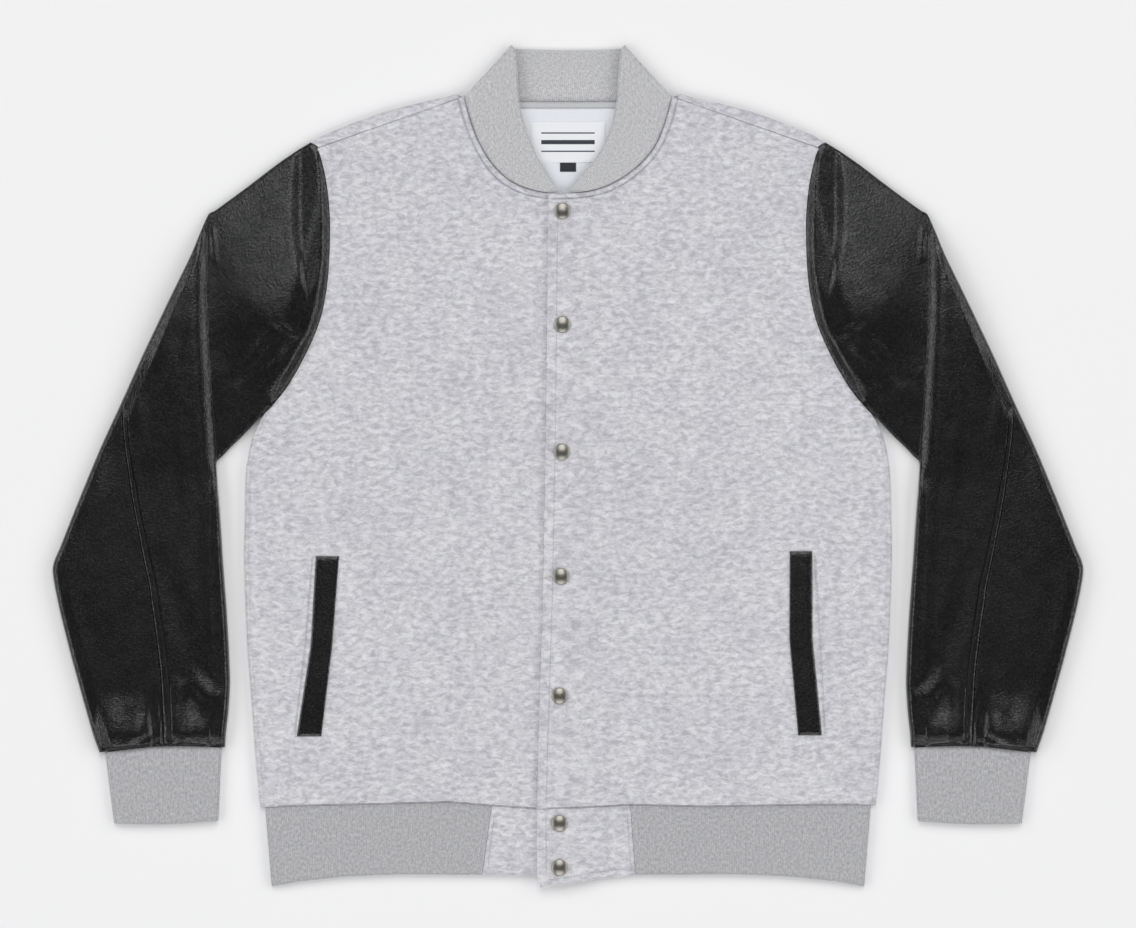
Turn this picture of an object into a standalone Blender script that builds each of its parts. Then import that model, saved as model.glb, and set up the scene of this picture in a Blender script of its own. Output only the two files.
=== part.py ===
"""A varsity jacket with a fleece body, leather sleeves and rib-knit trims, fastened and laid flat on its back.

Units are metres with +Z up; the tables are in millimetres. X runs across the jacket, +X towards the wearer's
left. Y runs from hem to collar. The cloth rests on Z = 0, and the origin is under the middle of the outline.
Lines and tables that serve both halves hold the distance from the middle, and a half is called by its side:
+1 for the wearer's left, whose front laps over the other, and -1 for the wearer's right.
"""

import math
from collections import namedtuple

import bmesh
import bpy

MM = 0.001

# Driving sizes, in millimetres.
SEAM_GAP = 0.3  # between pieces that are sewn together
FLEECE = 3.2  # brushed fleece with the body's lining
LEATHER = 2.0  # coated leather with the sleeve's lining
RIB = 3.2  # rib knit, folded double
BODY_HEIGHT = 8.2  # top of the front over the surface that the jacket lies on
HEM_HEIGHT = 8.0  # top of the waistband's front
SLEEVE_FOLD = 3.2  # radius of the sleeve's folded edges
RIB_FOLD = 3.6  # radius of the cuffs' and the waistband's folded edges
COLLAR_FOLD = 4.6  # radius of the collar's folded edges
SIDE_ROUND = 7.0  # how far in from the side seam the front rounds down to the back
SLEEVE_SLACK = 1.2  # most hollow height between a sleeve's two layers
LAP_LIFT = FLEECE + SEAM_GAP  # the upper front stands on the under front by this much
UNDER_EDGE = 8.4  # X of the under front's own edge, hidden by the lap
LAP_FULL, LAP_FADED = 10.0, 34.0  # X at the waist where the lap's lift is full and where it has died away
SHOULDER_ROLL = 4.2  # radius of the back's roll over the shoulder
ARMPIT_PUFF, ARMPIT_PUFF_REACH, ARMPIT_MIDDLE = 2.2, 26.0, (258.0, 46.0)

# X at a height Y of the lap's visible edge, from the waist seam to the neck.
LAP_EDGE = ((-28.0, -309.0), (-27.0, -264.0), (-25.2, -201.0), (-22.5, -120.0), (-19.8, 32.0), (-17.6, 239.2))
SNAPS = ((-5.0, 228.6), (-5.0, 126.9), (-5.4, 12.6), (-6.3, -99.0), (-7.6, -206.1), (-7.6, -320.4), (-7.6, -360.0))
WAIST_SNAPS = 2  # the last ones are on the waistband
SNAP_RADIUS, SNAP_HEIGHT = 7.4, 3.4

# Lines of half the body: distance from the middle, Y.
SIDE_SEAM = (
    (276.5, -306.0), (281.0, -254.0), (284.0, -210.5), (287.5, -167.0), (289.5, -124.0), (290.7, -81.0),
    (290.0, -38.0), (289.3, -8.0), (287.0, 9.0), (283.5, 24.0), (278.5, 37.0), (272.0, 47.5),
)
ARMHOLE = (
    (231.0, 290.8), (225.2, 285.2), (221.0, 274.0), (216.5, 253.0), (213.8, 226.0), (213.8, 194.0), (216.0, 163.0),
    (221.0, 136.0), (228.0, 116.0), (237.0, 97.0), (247.0, 79.0), (260.0, 60.5), (272.0, 47.5),
)
SHOULDER_SEAM = ((98.5, 329.5), (225.2, 285.2))
SHOULDER_TOP = ((98.8, 333.8), (128.0, 327.8), (165.0, 318.4), (196.0, 307.5), (222.0, 296.5), (231.0, 290.8))
NECK_EDGE = (
    (-13.0, 239.2), (13.0, 240.0), (30.0, 242.6), (43.0, 247.0), (55.5, 254.0), (66.5, 263.0), (76.5, 274.5),
    (85.0, 288.5), (91.0, 303.0), (95.5, 317.0), (98.5, 329.5),
)
COLLAR_SEAM = (
    (-13.0, 244.6), (13.0, 245.0), (28.0, 247.5), (41.0, 252.0), (53.0, 259.0), (63.5, 267.8), (73.0, 279.0),
    (80.8, 292.0), (86.0, 305.0), (90.0, 318.0), (93.5, 331.5),
)
COLLAR_EDGE = (
    (5.8, 247.0), (15.0, 261.0), (26.8, 277.5), (37.0, 300.0), (42.5, 320.0), (45.5, 338.0), (47.6, 356.0),
    (51.0, 378.0),
)
NECK_LEAN, NECK_LEAN_FROM, NECK_LEAN_TO = -4.6, 240.0, 290.0  # the neck's front leans this far, and its back doesn't
# The back neck's seam, and the notch beside it that the collar's fold passes through.
BACK_NECK = ((0.0, 327.2), (60.0, 327.5), (89.7, 327.8), (94.0, 331.2))
COLLAR_TOP_DIP = 4.4  # the collar's back edge, in the middle

# X and Y of the whole waist seam on the front, the hem of the rib and the foot of the upper tab.
WAIST_SEAM = (
    (-277.0, -306.5), (-240.0, -305.2), (-150.0, -303.2), (-106.0, -302.0), (-70.0, -305.0), (-28.0, -308.0),
    (30.0, -306.0), (57.0, -304.5), (120.0, -306.0), (210.0, -304.5), (277.0, -304.0),
)
BACK_WAIST_Y = -305.0
HEM = ((0.0, -368.0), (60.0, -367.0), (150.0, -366.4), (196.0, -368.2), (241.0, -372.8), (266.0, -377.6))
LAP_HEM = ((-25.0, -378.0), (-7.0, -376.2), (20.0, -371.5), (60.5, -367.0))
BAND_TOP_HALF, BAND_HEM_HALF = 272.0, 266.0  # half width of the rib band at the waist seam and at the hem
TAB_SEAM = {-1: (-68.5, -77.0), 1: (56.0, 60.5)}  # X at the waist seam and at the hem
LAP_FOOT_ROUND = 3.0  # how far in the upper tab's lower corner is rounded

# One row for each section across a sleeve, from armhole to cuff: where it meets the outer fold and the inner fold,
# how much of the armhole's bow (or, near the cuff, the cuff seam's) it keeps, how high the cloth stands near each
# fold, and where the seam between the two pieces lies as a share of the way in, less than 0 on the underside.
# A seam at FOLD_SHARE lies on the edge of the rounded fold.
Section = namedtuple("Section", "outer_x outer_y inner_x inner_y bow outer_rise inner_rise seam")
FOLD_SHARE = 0.017  # of the armhole, taken by the sleeve's folded edge
SLEEVE = (
    Section(231.0, 290.8, 272.0, 47.5, 1.00, 1.6, 2.2, -0.200),
    Section(244.0, 283.0, 277.0, 43.5, 0.86, -0.4, 3.0, -0.190),
    Section(262.0, 270.6, 283.0, 36.6, 0.62, 3.6, 3.2, -0.180),
    Section(285.0, 253.0, 292.0, 27.0, 0.38, 4.8, 1.8, -0.170),
    Section(306.0, 237.5, 303.0, 16.5, 0.16, 4.8, 0.6, -0.160),
    Section(317.0, 229.6, 310.0, 9.0, 0.05, 3.6, -0.6, -0.150),
    Section(323.0, 226.0, 315.0, 4.5, 0.00, 6.8, 6.4, -0.150),
    Section(329.0, 213.0, 316.0, 0.0, 0.00, 6.6, 7.2, -0.150),
    Section(339.0, 189.0, 315.3, -9.0, 0.00, 3.6, 6.6, -0.140),
    Section(360.0, 146.0, 314.4, -22.0, 0.00, 2.8, 5.4, -0.100),
    Section(381.0, 102.0, 313.0, -38.0, 0.00, 2.8, 4.4, -FOLD_SHARE),
    Section(392.0, 77.5, 312.2, -49.5, 0.00, 2.9, 4.0, 0.000),
    Section(401.0, 57.4, 311.4, -61.0, 0.00, 3.0, 3.6, FOLD_SHARE),
    Section(420.0, 16.2, 310.0, -84.0, 0.00, 3.0, 3.2, 0.240),
    Section(438.0, -27.0, 308.2, -108.0, 0.00, 2.8, 3.0, 0.410),
    Section(455.0, -70.0, 306.6, -130.0, 0.00, 2.4, 3.0, 0.530),
    Section(463.0, -92.0, 305.4, -150.0, 0.00, 2.4, 3.0, 0.570),
    Section(457.6, -125.0, 304.3, -172.0, 0.00, 2.6, 3.2, 0.577),
    Section(446.5, -170.0, 303.6, -196.0, 0.00, 3.2, 3.8, 0.568),
    Section(435.0, -212.0, 305.0, -220.0, 0.00, 4.6, 4.2, 0.550),
    Section(427.0, -240.0, 307.2, -240.0, 0.40, 3.6, 3.2, 0.535),
    Section(421.0, -257.2, 308.0, -252.4, 1.00, 1.2, 1.2, 0.515),
)
CUFF_BOW = 3.6  # the cuff seam rises this far in the middle
CUFF_TOP = ((415.6, -257.4), (311.0, -252.9))  # outer corner and inner corner
CUFF_END = ((407.6, -321.0), (314.2, -318.8))
CUFF_SAG, CUFF_CROWN = 1.6, 0.9
SEAM_RIDGE, SEAM_RIDGE_WIDTH = 1.2, 8.0  # the turned allowance beside the sleeve's seam
UNDERARM_SEAM = 0.15  # the second sleeve seam: this share in from the inner fold, underneath

# Welt pockets. One row for each height: Y, then the strip's inner and outer edge, then the width of the lip of
# fleece beside its opening.
WeltRow = namedtuple("WeltRow", "y inner outer lip")
WELTS = {
    -1: (WeltRow(-81.0, 205.4, 225.8, 2.2), WeltRow(-161.0, 211.5, 230.4, 4.2), WeltRow(-242.5, 221.3, 243.0, 1.4)),
    1: (WeltRow(-76.5, 198.9, 218.8, 1.2), WeltRow(-155.0, 198.6, 219.0, 6.0), WeltRow(-241.5, 206.5, 227.4, 2.0)),
}
WELT_HEIGHT, LIP_HEIGHT = 1.6, 0.9

LINING_HEIGHT, LINING_HALF, LINING_FOOT_HALF, LINING_FOOT_Y = 0.7, 72.0, 40.0, 232.0
LABEL_HALF, LABEL_TOP, LABEL_FOOT, LABEL_HEIGHT = 33.0, 309.0, 272.6, 0.5
SIZE_TAB_HALF, SIZE_TAB_FOOT = 7.2, 264.2
TAPE_HALF, TAPE_WIDTH, TAPE_HEIGHT = 56.0, 6.0, 0.8

MATERIALS = {  # sRGB colour, roughness, metallic
    "fleece": ((0.79, 0.79, 0.81), 0.95, 0.0),
    "rib_knit": ((0.71, 0.71, 0.72), 0.95, 0.0),
    "leather": ((0.06, 0.06, 0.06), 0.42, 0.0),
    "lining": ((0.93, 0.94, 0.95), 0.85, 0.0),
    "label": ((0.95, 0.95, 0.96), 0.8, 0.0),
    "size_tab": ((0.05, 0.05, 0.07), 0.8, 0.0),
    "snap": ((0.62, 0.61, 0.58), 0.25, 1.0),
}


# ---------------------------------------------------------------- lines and tables


def mix(a, b, k):
    return a + (b - a) * k


def ease(k):
    """0 to 1 with a soft start and a soft end."""
    k = min(max(k, 0.0), 1.0)
    return k * k * (3.0 - 2.0 * k)


def straight(rows, value, key=0):
    """The other column of a two-column table at a value of the key column, in straight steps."""
    rows = sorted(rows, key=lambda row: row[key])
    for low, high in zip(rows, rows[1:]):
        if value <= high[key]:
            break
    k = min(max((value - low[key]) / (high[key] - low[key]), 0.0), 1.0)
    return mix(low[1 - key], high[1 - key], k)


def smooth_line(points, steps=12):
    """A function of 0 to 1 that runs evenly along a smooth line through the points."""
    ends = [points[0], *points, points[-1]]
    dense = []
    for around in zip(ends, ends[1:], ends[2:], ends[3:]):
        for step in range(steps):
            k = step / steps
            dense.append([
                0.5 * (2 * q + (r - p) * k + (2 * p - 5 * q + 4 * r - s) * k**2 + (3 * q - p - 3 * r + s) * k**3)
                for p, q, r, s in zip(*around)
            ])
    dense.append(points[-1])
    reach = [0.0]
    for a, b in zip(dense, dense[1:]):
        reach.append(reach[-1] + math.dist(a, b))

    def at(k):
        goal = min(max(k, 0.0), 1.0) * reach[-1]
        i = max(n for n, length in enumerate(reach[:-1]) if length <= goal)
        part = (goal - reach[i]) / max(reach[i + 1] - reach[i], 1e-9)
        return [mix(p, q, part) for p, q in zip(dense[i], dense[i + 1])]

    return at


def corners_of(line, shares):
    """The line cut down to straight pieces between these shares of its length, so that two panels can meet on it."""
    points = [line(share) for share in shares]

    def at(k):
        i = max(n for n, share in enumerate(shares[:-1]) if share <= max(k, shares[0]))
        part = min((k - shares[i]) / (shares[i + 1] - shares[i]), 1.0)
        return [mix(p, q, part) for p, q in zip(points[i], points[i + 1])]

    return at


side_seam = smooth_line(SIDE_SEAM)
SECTIONS_ON_ARMHOLE = 10
ARMHOLE_SHARES = [mix(FOLD_SHARE, 1.0 - FOLD_SHARE, n / SECTIONS_ON_ARMHOLE) for n in range(SECTIONS_ON_ARMHOLE + 1)]
armhole_above = corners_of(smooth_line(ARMHOLE), [0.0, *ARMHOLE_SHARES, 1.0])
armhole_below = corners_of(smooth_line(ARMHOLE), [0.0, *ARMHOLE_SHARES[::2], 1.0])
SHOULDER_SHARE = 0.0315  # of the armhole, from its tip to the end of the shoulder seam
NECK_STEPS = 10
NECK_SHARES = [n / NECK_STEPS for n in range(NECK_STEPS + 1)]
neck_edge = corners_of(smooth_line(NECK_EDGE), NECK_SHARES)
collar_seam = corners_of(smooth_line(COLLAR_SEAM), NECK_SHARES)
collar_edge = smooth_line(COLLAR_EDGE)
COLLAR_START = 0.14  # the collar's front end comes this share along its seam
UNDER_BINDING_START = 0.12  # and the under front's binding starts here, just hidden by the lap


def waist_y(x):
    return straight(WAIST_SEAM, x)


def lap_x(y):
    return straight(LAP_EDGE, y, key=1)


def hem_y(x):
    return straight(HEM, abs(x))


def back_neck_y(x):
    return straight(BACK_NECK, abs(x))


def neck_lean(y):
    return NECK_LEAN * (1.0 - ease((y - NECK_LEAN_FROM) / (NECK_LEAN_TO - NECK_LEAN_FROM)))


# ---------------------------------------------------------------- making cloth


def material(slot):
    colour, roughness, metallic = MATERIALS[slot]
    made = bpy.data.materials.get(slot) or bpy.data.materials.new(slot)
    made.use_nodes = True
    shader = made.node_tree.nodes["Principled BSDF"]
    linear = [((c + 0.055) / 1.055) ** 2.4 if c > 0.04 else c / 12.92 for c in colour]
    shader.inputs["Base Color"].default_value = (*linear, 1.0)
    shader.inputs["Roughness"].default_value = roughness
    shader.inputs["Metallic"].default_value = metallic
    return made


def cloth(name, columns, rows, place, slot, collection, ring=False):
    """A closed wall of cloth over a grid of columns and rows. place(column, row, outer) gives the point in mm. On a
    ring the first and last columns meet."""
    bm = bmesh.new()
    across, along = len(columns) - 1, len(rows) - 1
    bmesh.ops.create_grid(bm, x_segments=across, y_segments=along, size=0.5)
    inner = set(bm.verts)
    bmesh.ops.extrude_face_region(bm, geom=bm.faces[:], use_keep_orig=True)
    if ring:
        ends = [face for face in bm.faces if all(abs(vert.co.x) > 0.499 for vert in face.verts)]
        bmesh.ops.delete(bm, geom=ends, context="FACES_ONLY")
    for vert in bm.verts:
        column = columns[round((vert.co.x + 0.5) * across)]
        row = rows[round((vert.co.y + 0.5) * along)]
        vert.co = [c * MM for c in place(column, row, vert not in inner)]
    bmesh.ops.remove_doubles(bm, verts=bm.verts[:], dist=1e-6)
    # The shorter diagonal is the same one on both sides of a seam, so that twisted walls still fit.
    bmesh.ops.triangulate(bm, faces=bm.faces[:], quad_method="SHORT_EDGE")
    bmesh.ops.recalc_face_normals(bm, faces=bm.faces[:])
    mesh = bpy.data.meshes.new(name)
    bm.to_mesh(mesh)
    bm.free()
    mesh.shade_smooth()
    mesh.set_sharp_from_angle(angle=math.radians(40))
    mesh.materials.append(material(slot))
    made = bpy.data.objects.new(name, mesh)
    collection.objects.link(made)
    return made


def folded(inset, radius, thickness, top, outer, above):
    """Cloth that turns back on itself at a fold. inset is the distance in from the fold, along either layer.
    Gives the true distance in and the height of the outer or the inner face, on the layer above or below."""
    if inset >= radius:
        base = 0.0 if outer else thickness
        return inset, (top - base if above else base)
    turn = (1.0 - inset / radius) * math.pi / 2
    reach = radius if outer else radius - thickness
    return radius - reach * math.sin(turn), radius + (1.0 if above else -1.0) * reach * math.cos(turn)


# ---------------------------------------------------------------- body


FRONT_RIM = (0.0, 0.004, 0.012, 0.026, 0.06, 0.14, 0.28, 0.44, 0.6)  # columns' shares of the way from side to lap


def front_shares(side):
    """Shares of the way from the side to the front edge, with a column at the tab's seam and at the lap's rise."""
    start, end = SIDE_SEAM[0][0], side * (lap_x(SIDE_SEAM[0][1]) if side > 0 else UNDER_EDGE)
    marks = [abs(TAB_SEAM[side][0]), LAP_FADED, mix(LAP_FULL, LAP_FADED, 0.5), LAP_FULL]
    return [*FRONT_RIM, *((start - mark) / (start - end) for mark in marks), 1.0]


def lap_lift(share, side):
    if side < 0:
        return 0.0
    shares = front_shares(side)
    full, faded = shares[-2], shares[-4]
    return LAP_LIFT * ease((share - faded) / (full - faded))


def front_waist_x(side, share):
    """X where a column of the front meets the waist seam."""
    end = lap_x(SIDE_SEAM[0][1]) if side > 0 else UNDER_EDGE
    return mix(side * SIDE_SEAM[0][0], end, share)


# One row for each line across a front: the side seam's share, the armhole's share and the neck's share, where None
# stands for a line that doesn't reach it.
SIDE_ROWS = [(share, None, None) for share in (0.0, 0.025, 0.12, 0.24, 0.36, 0.48, 0.6, 0.72, 0.82, 0.9, 0.96)]
ARMPIT_ROWS = [(None, share, None) for share in (1.0, *reversed(ARMHOLE_SHARES[6:]))]
NECK_ARMHOLE_SHARES = [*reversed(ARMHOLE_SHARES[1:6]), SHOULDER_SHARE]
NECK_ROWS = [
    (None, armhole, NECK_SHARES[2 * n + half])
    for n, (low, high) in enumerate(zip(NECK_ARMHOLE_SHARES, NECK_ARMHOLE_SHARES[1:]))
    for half, armhole in enumerate((low, mix(low, high, 0.5)))
]
NECK_ROWS.append((None, SHOULDER_SHARE, 1.0))
FRONT_ROWS = SIDE_ROWS + ARMPIT_ROWS + NECK_ROWS


def front_height(x, y):
    """Height of the front's top face away from its edges, without the lap."""
    reach = math.dist((abs(x), y), ARMPIT_MIDDLE) / ARMPIT_PUFF_REACH
    return BODY_HEIGHT + ARMPIT_PUFF * (1.0 - ease(reach))


def front_panel(side, name, collection):
    lower_rows = len(SIDE_ROWS) + len(ARMPIT_ROWS)
    neck_y = NECK_EDGE[0][1]
    seat = FLEECE + SEAM_GAP

    def place(share, row, outer):
        on_side, on_armhole, on_neck = FRONT_ROWS[row]
        edge_x, edge_y = side_seam(on_side) if on_armhole is None else armhole_above(on_armhole)
        if on_neck is None:
            end_y = mix(SIDE_SEAM[0][1], neck_y, row / lower_rows)
            end_x = lap_x(end_y) if side > 0 else UNDER_EDGE
        else:
            x, end_y = neck_edge(on_neck)
            end_x = side * x + neck_lean(end_y)
        x, y = mix(side * edge_x, end_x, share), mix(edge_y, end_y, share)
        if row == 0:
            y = waist_y(x) + SEAM_GAP / 2
        height = front_height(x, y) + lap_lift(share, side)
        from_edge = share * math.dist((side * edge_x, edge_y), (end_x, end_y))
        if on_armhole is None:
            rounding = math.sqrt(1.0 - (1.0 - min(from_edge / SIDE_ROUND, 1.0)) ** 2)
            height = mix(seat + 0.9, height, rounding)
        else:
            height -= 0.8 * (1.0 - ease(from_edge / 6.0))
        if row == 0:
            height -= 0.9
        return x, y, (height if outer else max(height - FLEECE, seat))

    cloth(name, front_shares(side), range(len(FRONT_ROWS)), place, "fleece", collection)


def back_panel(collection):
    """The back lies flat. Its last rows roll over each shoulder to the seam on the front, but not at the neck."""
    neck_columns = [0.0, 30.0, 60.0, 80.0, BACK_NECK[-2][0], BACK_NECK[-1][0]]
    half = [x / ARMHOLE[1][0] for x in neck_columns + [SHOULDER_TOP[0][0] + 0.4, 128.0, 165.0, 196.0, 216.0]] + [1.0]
    columns = [-share for share in reversed(half[1:])] + half
    last_neck_column = half[len(neck_columns) - 1]
    side_rows = [0.0, 0.15, 0.3, 0.45, 0.6, 0.74, 0.86, 0.94]
    armhole_rows = [1.0, *reversed(ARMHOLE_SHARES[2::2]), SHOULDER_SHARE]
    turns = [0.25, 0.5, 0.75, 1.0, 1.5]
    rows = [("side", k) for k in side_rows] + [("armhole", k) for k in armhole_rows] + [("roll", k) for k in turns]
    top_y = ARMHOLE[0][1] - SHOULDER_ROLL

    def place(share, row, outer):
        kind, k = row
        base = 0.0 if outer else FLEECE
        if kind != "roll":
            edge_x, edge_y = side_seam(k) if kind == "side" else armhole_below(k)
            if k == 0.0:
                edge_y = BACK_WAIST_Y + SEAM_GAP / 2
            x = share * edge_x
            inset = (1.0 - abs(share)) * edge_x
            base += 0.9 * (1.0 - ease(inset / 3.0)) * (1.0 if outer else 0.0)
        tip_x = abs(share) * ARMHOLE[0][0]
        if abs(share) <= last_neck_column:
            head_y = back_neck_y(abs(share) * ARMHOLE[1][0])
        else:
            seam_y = straight(SHOULDER_SEAM, abs(share) * ARMHOLE[1][0])
            head_y = max(straight(SHOULDER_TOP, tip_x) - SHOULDER_ROLL, seam_y + 3.0 * SEAM_GAP)
        if kind != "roll":
            rise = max(0.0, edge_y - ARMHOLE[-1][1]) / (top_y - ARMHOLE[-1][1])
            return x, edge_y + (head_y - top_y) * min(rise, 1.0) ** 1.5, base
        if abs(share) <= last_neck_column:
            return share * ARMHOLE[1][0], head_y, base
        turn = min(k, 1.0) * math.pi
        reach = SHOULDER_ROLL if outer else SHOULDER_ROLL - FLEECE
        x = share * mix(ARMHOLE[1][0] - 0.9, ARMHOLE[0][0] - 1.2, math.sin(turn) * reach / SHOULDER_ROLL)
        y = head_y + reach * math.sin(turn)
        if k > 1.0:
            y = straight(SHOULDER_SEAM, abs(x)) + 1.5 * SEAM_GAP
        return x, y, SHOULDER_ROLL - reach * math.cos(turn)

    cloth("back_panel", columns, rows, place, "fleece", collection)


# ---------------------------------------------------------------- sleeves


def section_of(row):
    """A sleeve section's row of the table, its length, and how slantwise it meets the outer and the inner fold."""
    here = SLEEVE[row]
    before, after = SLEEVE[max(row - 1, 0)], SLEEVE[min(row + 1, len(SLEEVE) - 1)]
    length = math.dist(here[:2], here[2:4])
    line = (here.inner_x - here.outer_x, here.inner_y - here.outer_y)
    slants = []
    for fold in (
        (after.outer_x - before.outer_x, after.outer_y - before.outer_y),
        (after.inner_x - before.inner_x, after.inner_y - before.inner_y),
    ):
        crossing = abs(fold[0] * line[1] - fold[1] * line[0]) / (math.hypot(*fold) * length)
        slants.append(1.0 / max(crossing, 0.4))
    return here, length, slants


def fold_share(row, inner):
    """How much of a section its folded edge takes."""
    _, length, slants = section_of(row)
    return FOLD_SHARE if row == 0 else SLEEVE_FOLD * slants[inner] / length


def section_bow(row, k, above):
    """How far a section bows away from its straight line, to follow the armhole or the cuff seam."""
    here = SLEEVE[row]
    if here.bow == 0.0:
        return 0.0, 0.0
    if row > len(SLEEVE) // 2:
        return 0.0, here.bow * CUFF_BOW * math.sin(math.pi * k)
    x, y = armhole_above(k) if above else armhole_below(k)
    first = SLEEVE[0]
    return here.bow * (x - mix(first.outer_x, first.inner_x, k)), here.bow * (y - mix(first.outer_y, first.inner_y, k))


def sleeve_point(row, place, outer):
    """A point of a sleeve in mm. place is 0 at the outer fold and 1 at the inner fold on top of the sleeve. Below 0
    and above 1 it goes on underneath, by the same share in from that fold."""
    here, length, _ = section_of(row)
    above = 0.0 <= place <= 1.0
    k = abs(place) if place <= 1.0 else 2.0 - place
    near_inner = k > 0.5
    share = fold_share(row, near_inner)
    inset = (1.0 - k if near_inner else k) / share * SLEEVE_FOLD
    rise = mix(here.outer_rise, here.inner_rise, ease(k))
    top = 2 * SLEEVE_FOLD + rise * ease((inset - SLEEVE_FOLD) / 11.0)
    inset, height = folded(inset, SLEEVE_FOLD, LEATHER, top, outer, above)
    if above and not outer:
        height = min(height, LEATHER + SLEEVE_SLACK)
    k = inset / SLEEVE_FOLD * share
    k = 1.0 - k if near_inner else k
    bow_x, bow_y = section_bow(row, k, above)
    x, y = mix(here.outer_x, here.inner_x, k) + bow_x, mix(here.outer_y, here.inner_y, k) + bow_y
    if row == 0:
        x, y = x + 0.3, y + 0.15
    return x, y, height


def seam_place(row):
    """Where the seam lies on a section. One at the rounded fold's edge keeps to that edge as the fold's share changes."""
    seam = SLEEVE[row].seam
    return math.copysign(fold_share(row, False), seam) if abs(seam) == FOLD_SHARE else seam


FOLD_STATIONS = (-1.0, -0.5, 0.0, 0.5, 1.0)


def top_sleeve(side, name, collection):
    """From the seam, over the outer fold where it starts underneath, across the top, round the inner fold and on to
    the underarm seam."""

    def station(row, kind, n):
        seam = seam_place(row)
        if kind == "seam":
            return seam
        if kind == "outer":
            return max(seam, n * fold_share(row, False))
        inner = fold_share(row, True)
        if kind == "middle":
            return mix(max(seam, fold_share(row, False)), 1.0 - inner, n / SECTIONS_ON_ARMHOLE)
        if kind == "inner":
            return 1.0 + n * inner
        return 1.0 + UNDERARM_SEAM

    columns = [("seam", 0)] + [("outer", n) for n in FOLD_STATIONS]
    columns += [("middle", n) for n in range(1, SECTIONS_ON_ARMHOLE + 1)]
    columns += [("inner", n) for n in FOLD_STATIONS[1:]] + [("underarm", 0)]

    def place(column, row, outer):
        where = station(row, *column)
        x, y, z = sleeve_point(row, where, outer)
        here, length, _ = section_of(row)
        on_top = here.seam > 2 * fold_share(row, False)
        if outer and on_top and where < 1.0:
            z += SEAM_RIDGE * (1.0 - ease(((where - here.seam) * length - SEAM_RIDGE_WIDTH) / 3.0))
        return side * x, y, z

    cloth(name, columns, range(len(SLEEVE)), place, "leather", collection)


def under_sleeve(side, name, collection):
    """From the underarm seam across underneath, round the outer fold where the seam lies past it, to the seam."""

    def station(row, kind, n):
        _, length, _ = section_of(row)
        end = seam_place(row) - SEAM_GAP / length
        outer = fold_share(row, False)
        if kind == "beneath":
            return min(n, end)
        if kind == "outer":
            return min(n * outer, end)
        return end if end < outer else mix(outer, end, n)

    start = -1.0 + UNDERARM_SEAM + 0.002
    columns = [("beneath", start)] + [("beneath", -share) for share in reversed(ARMHOLE_SHARES[2:-2:2])]
    columns += [("outer", n) for n in FOLD_STATIONS] + [("over", n / 5) for n in range(1, 6)]

    def place(column, row, outer):
        x, y, z = sleeve_point(row, station(row, *column), outer)
        return side * x, y, z

    cloth(name, columns[::-1], range(len(SLEEVE)), place, "leather", collection)


def cuff(side, name, collection):
    """A strip of rib knit, folded double and sewn into a ring."""
    width = math.dist(*CUFF_TOP)
    edge = RIB_FOLD / width
    columns = [-0.5, -0.3, -0.12] + [n * edge for n in FOLD_STATIONS]
    columns += [0.12, 0.3, 0.5, 0.7, 0.88] + [1.0 + n * edge for n in FOLD_STATIONS]
    columns += [1.12, 1.3, 1.5]

    def place(column, v, outer):
        above = 0.0 <= column <= 1.0
        k = abs(column) if column <= 1.0 else 2.0 - column
        ends = [(mix(top[0], end[0], v), mix(top[1], end[1], v)) for top, end in zip(CUFF_TOP, CUFF_END)]
        length = math.dist(*ends)
        near_inner = k > 0.5
        inset = (1.0 - k if near_inner else k) * width
        lowered = 0.8 if v in (0.0, 1.0) and inset > RIB_FOLD else 0.0
        top = 2 * RIB_FOLD + CUFF_CROWN * ease((inset - RIB_FOLD) / 20.0) - lowered
        inset, height = folded(inset, RIB_FOLD, RIB, top, outer, above)
        if above and not outer:
            height = min(height, 2 * RIB_FOLD - RIB)
        k = 1.0 - inset / length if near_inner else inset / length
        bow = math.sin(math.pi * k) * mix(CUFF_BOW * (1.0 - ease(v / 0.5)), -CUFF_SAG, ease(v))
        return side * mix(ends[0][0], ends[1][0], k), mix(ends[0][1], ends[1][1], k) + bow, height

    cloth(name, columns, [0.0, 0.06, 0.5, 0.94, 1.0], place, "rib_knit", collection, ring=True)


# ---------------------------------------------------------------- waistband


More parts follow.
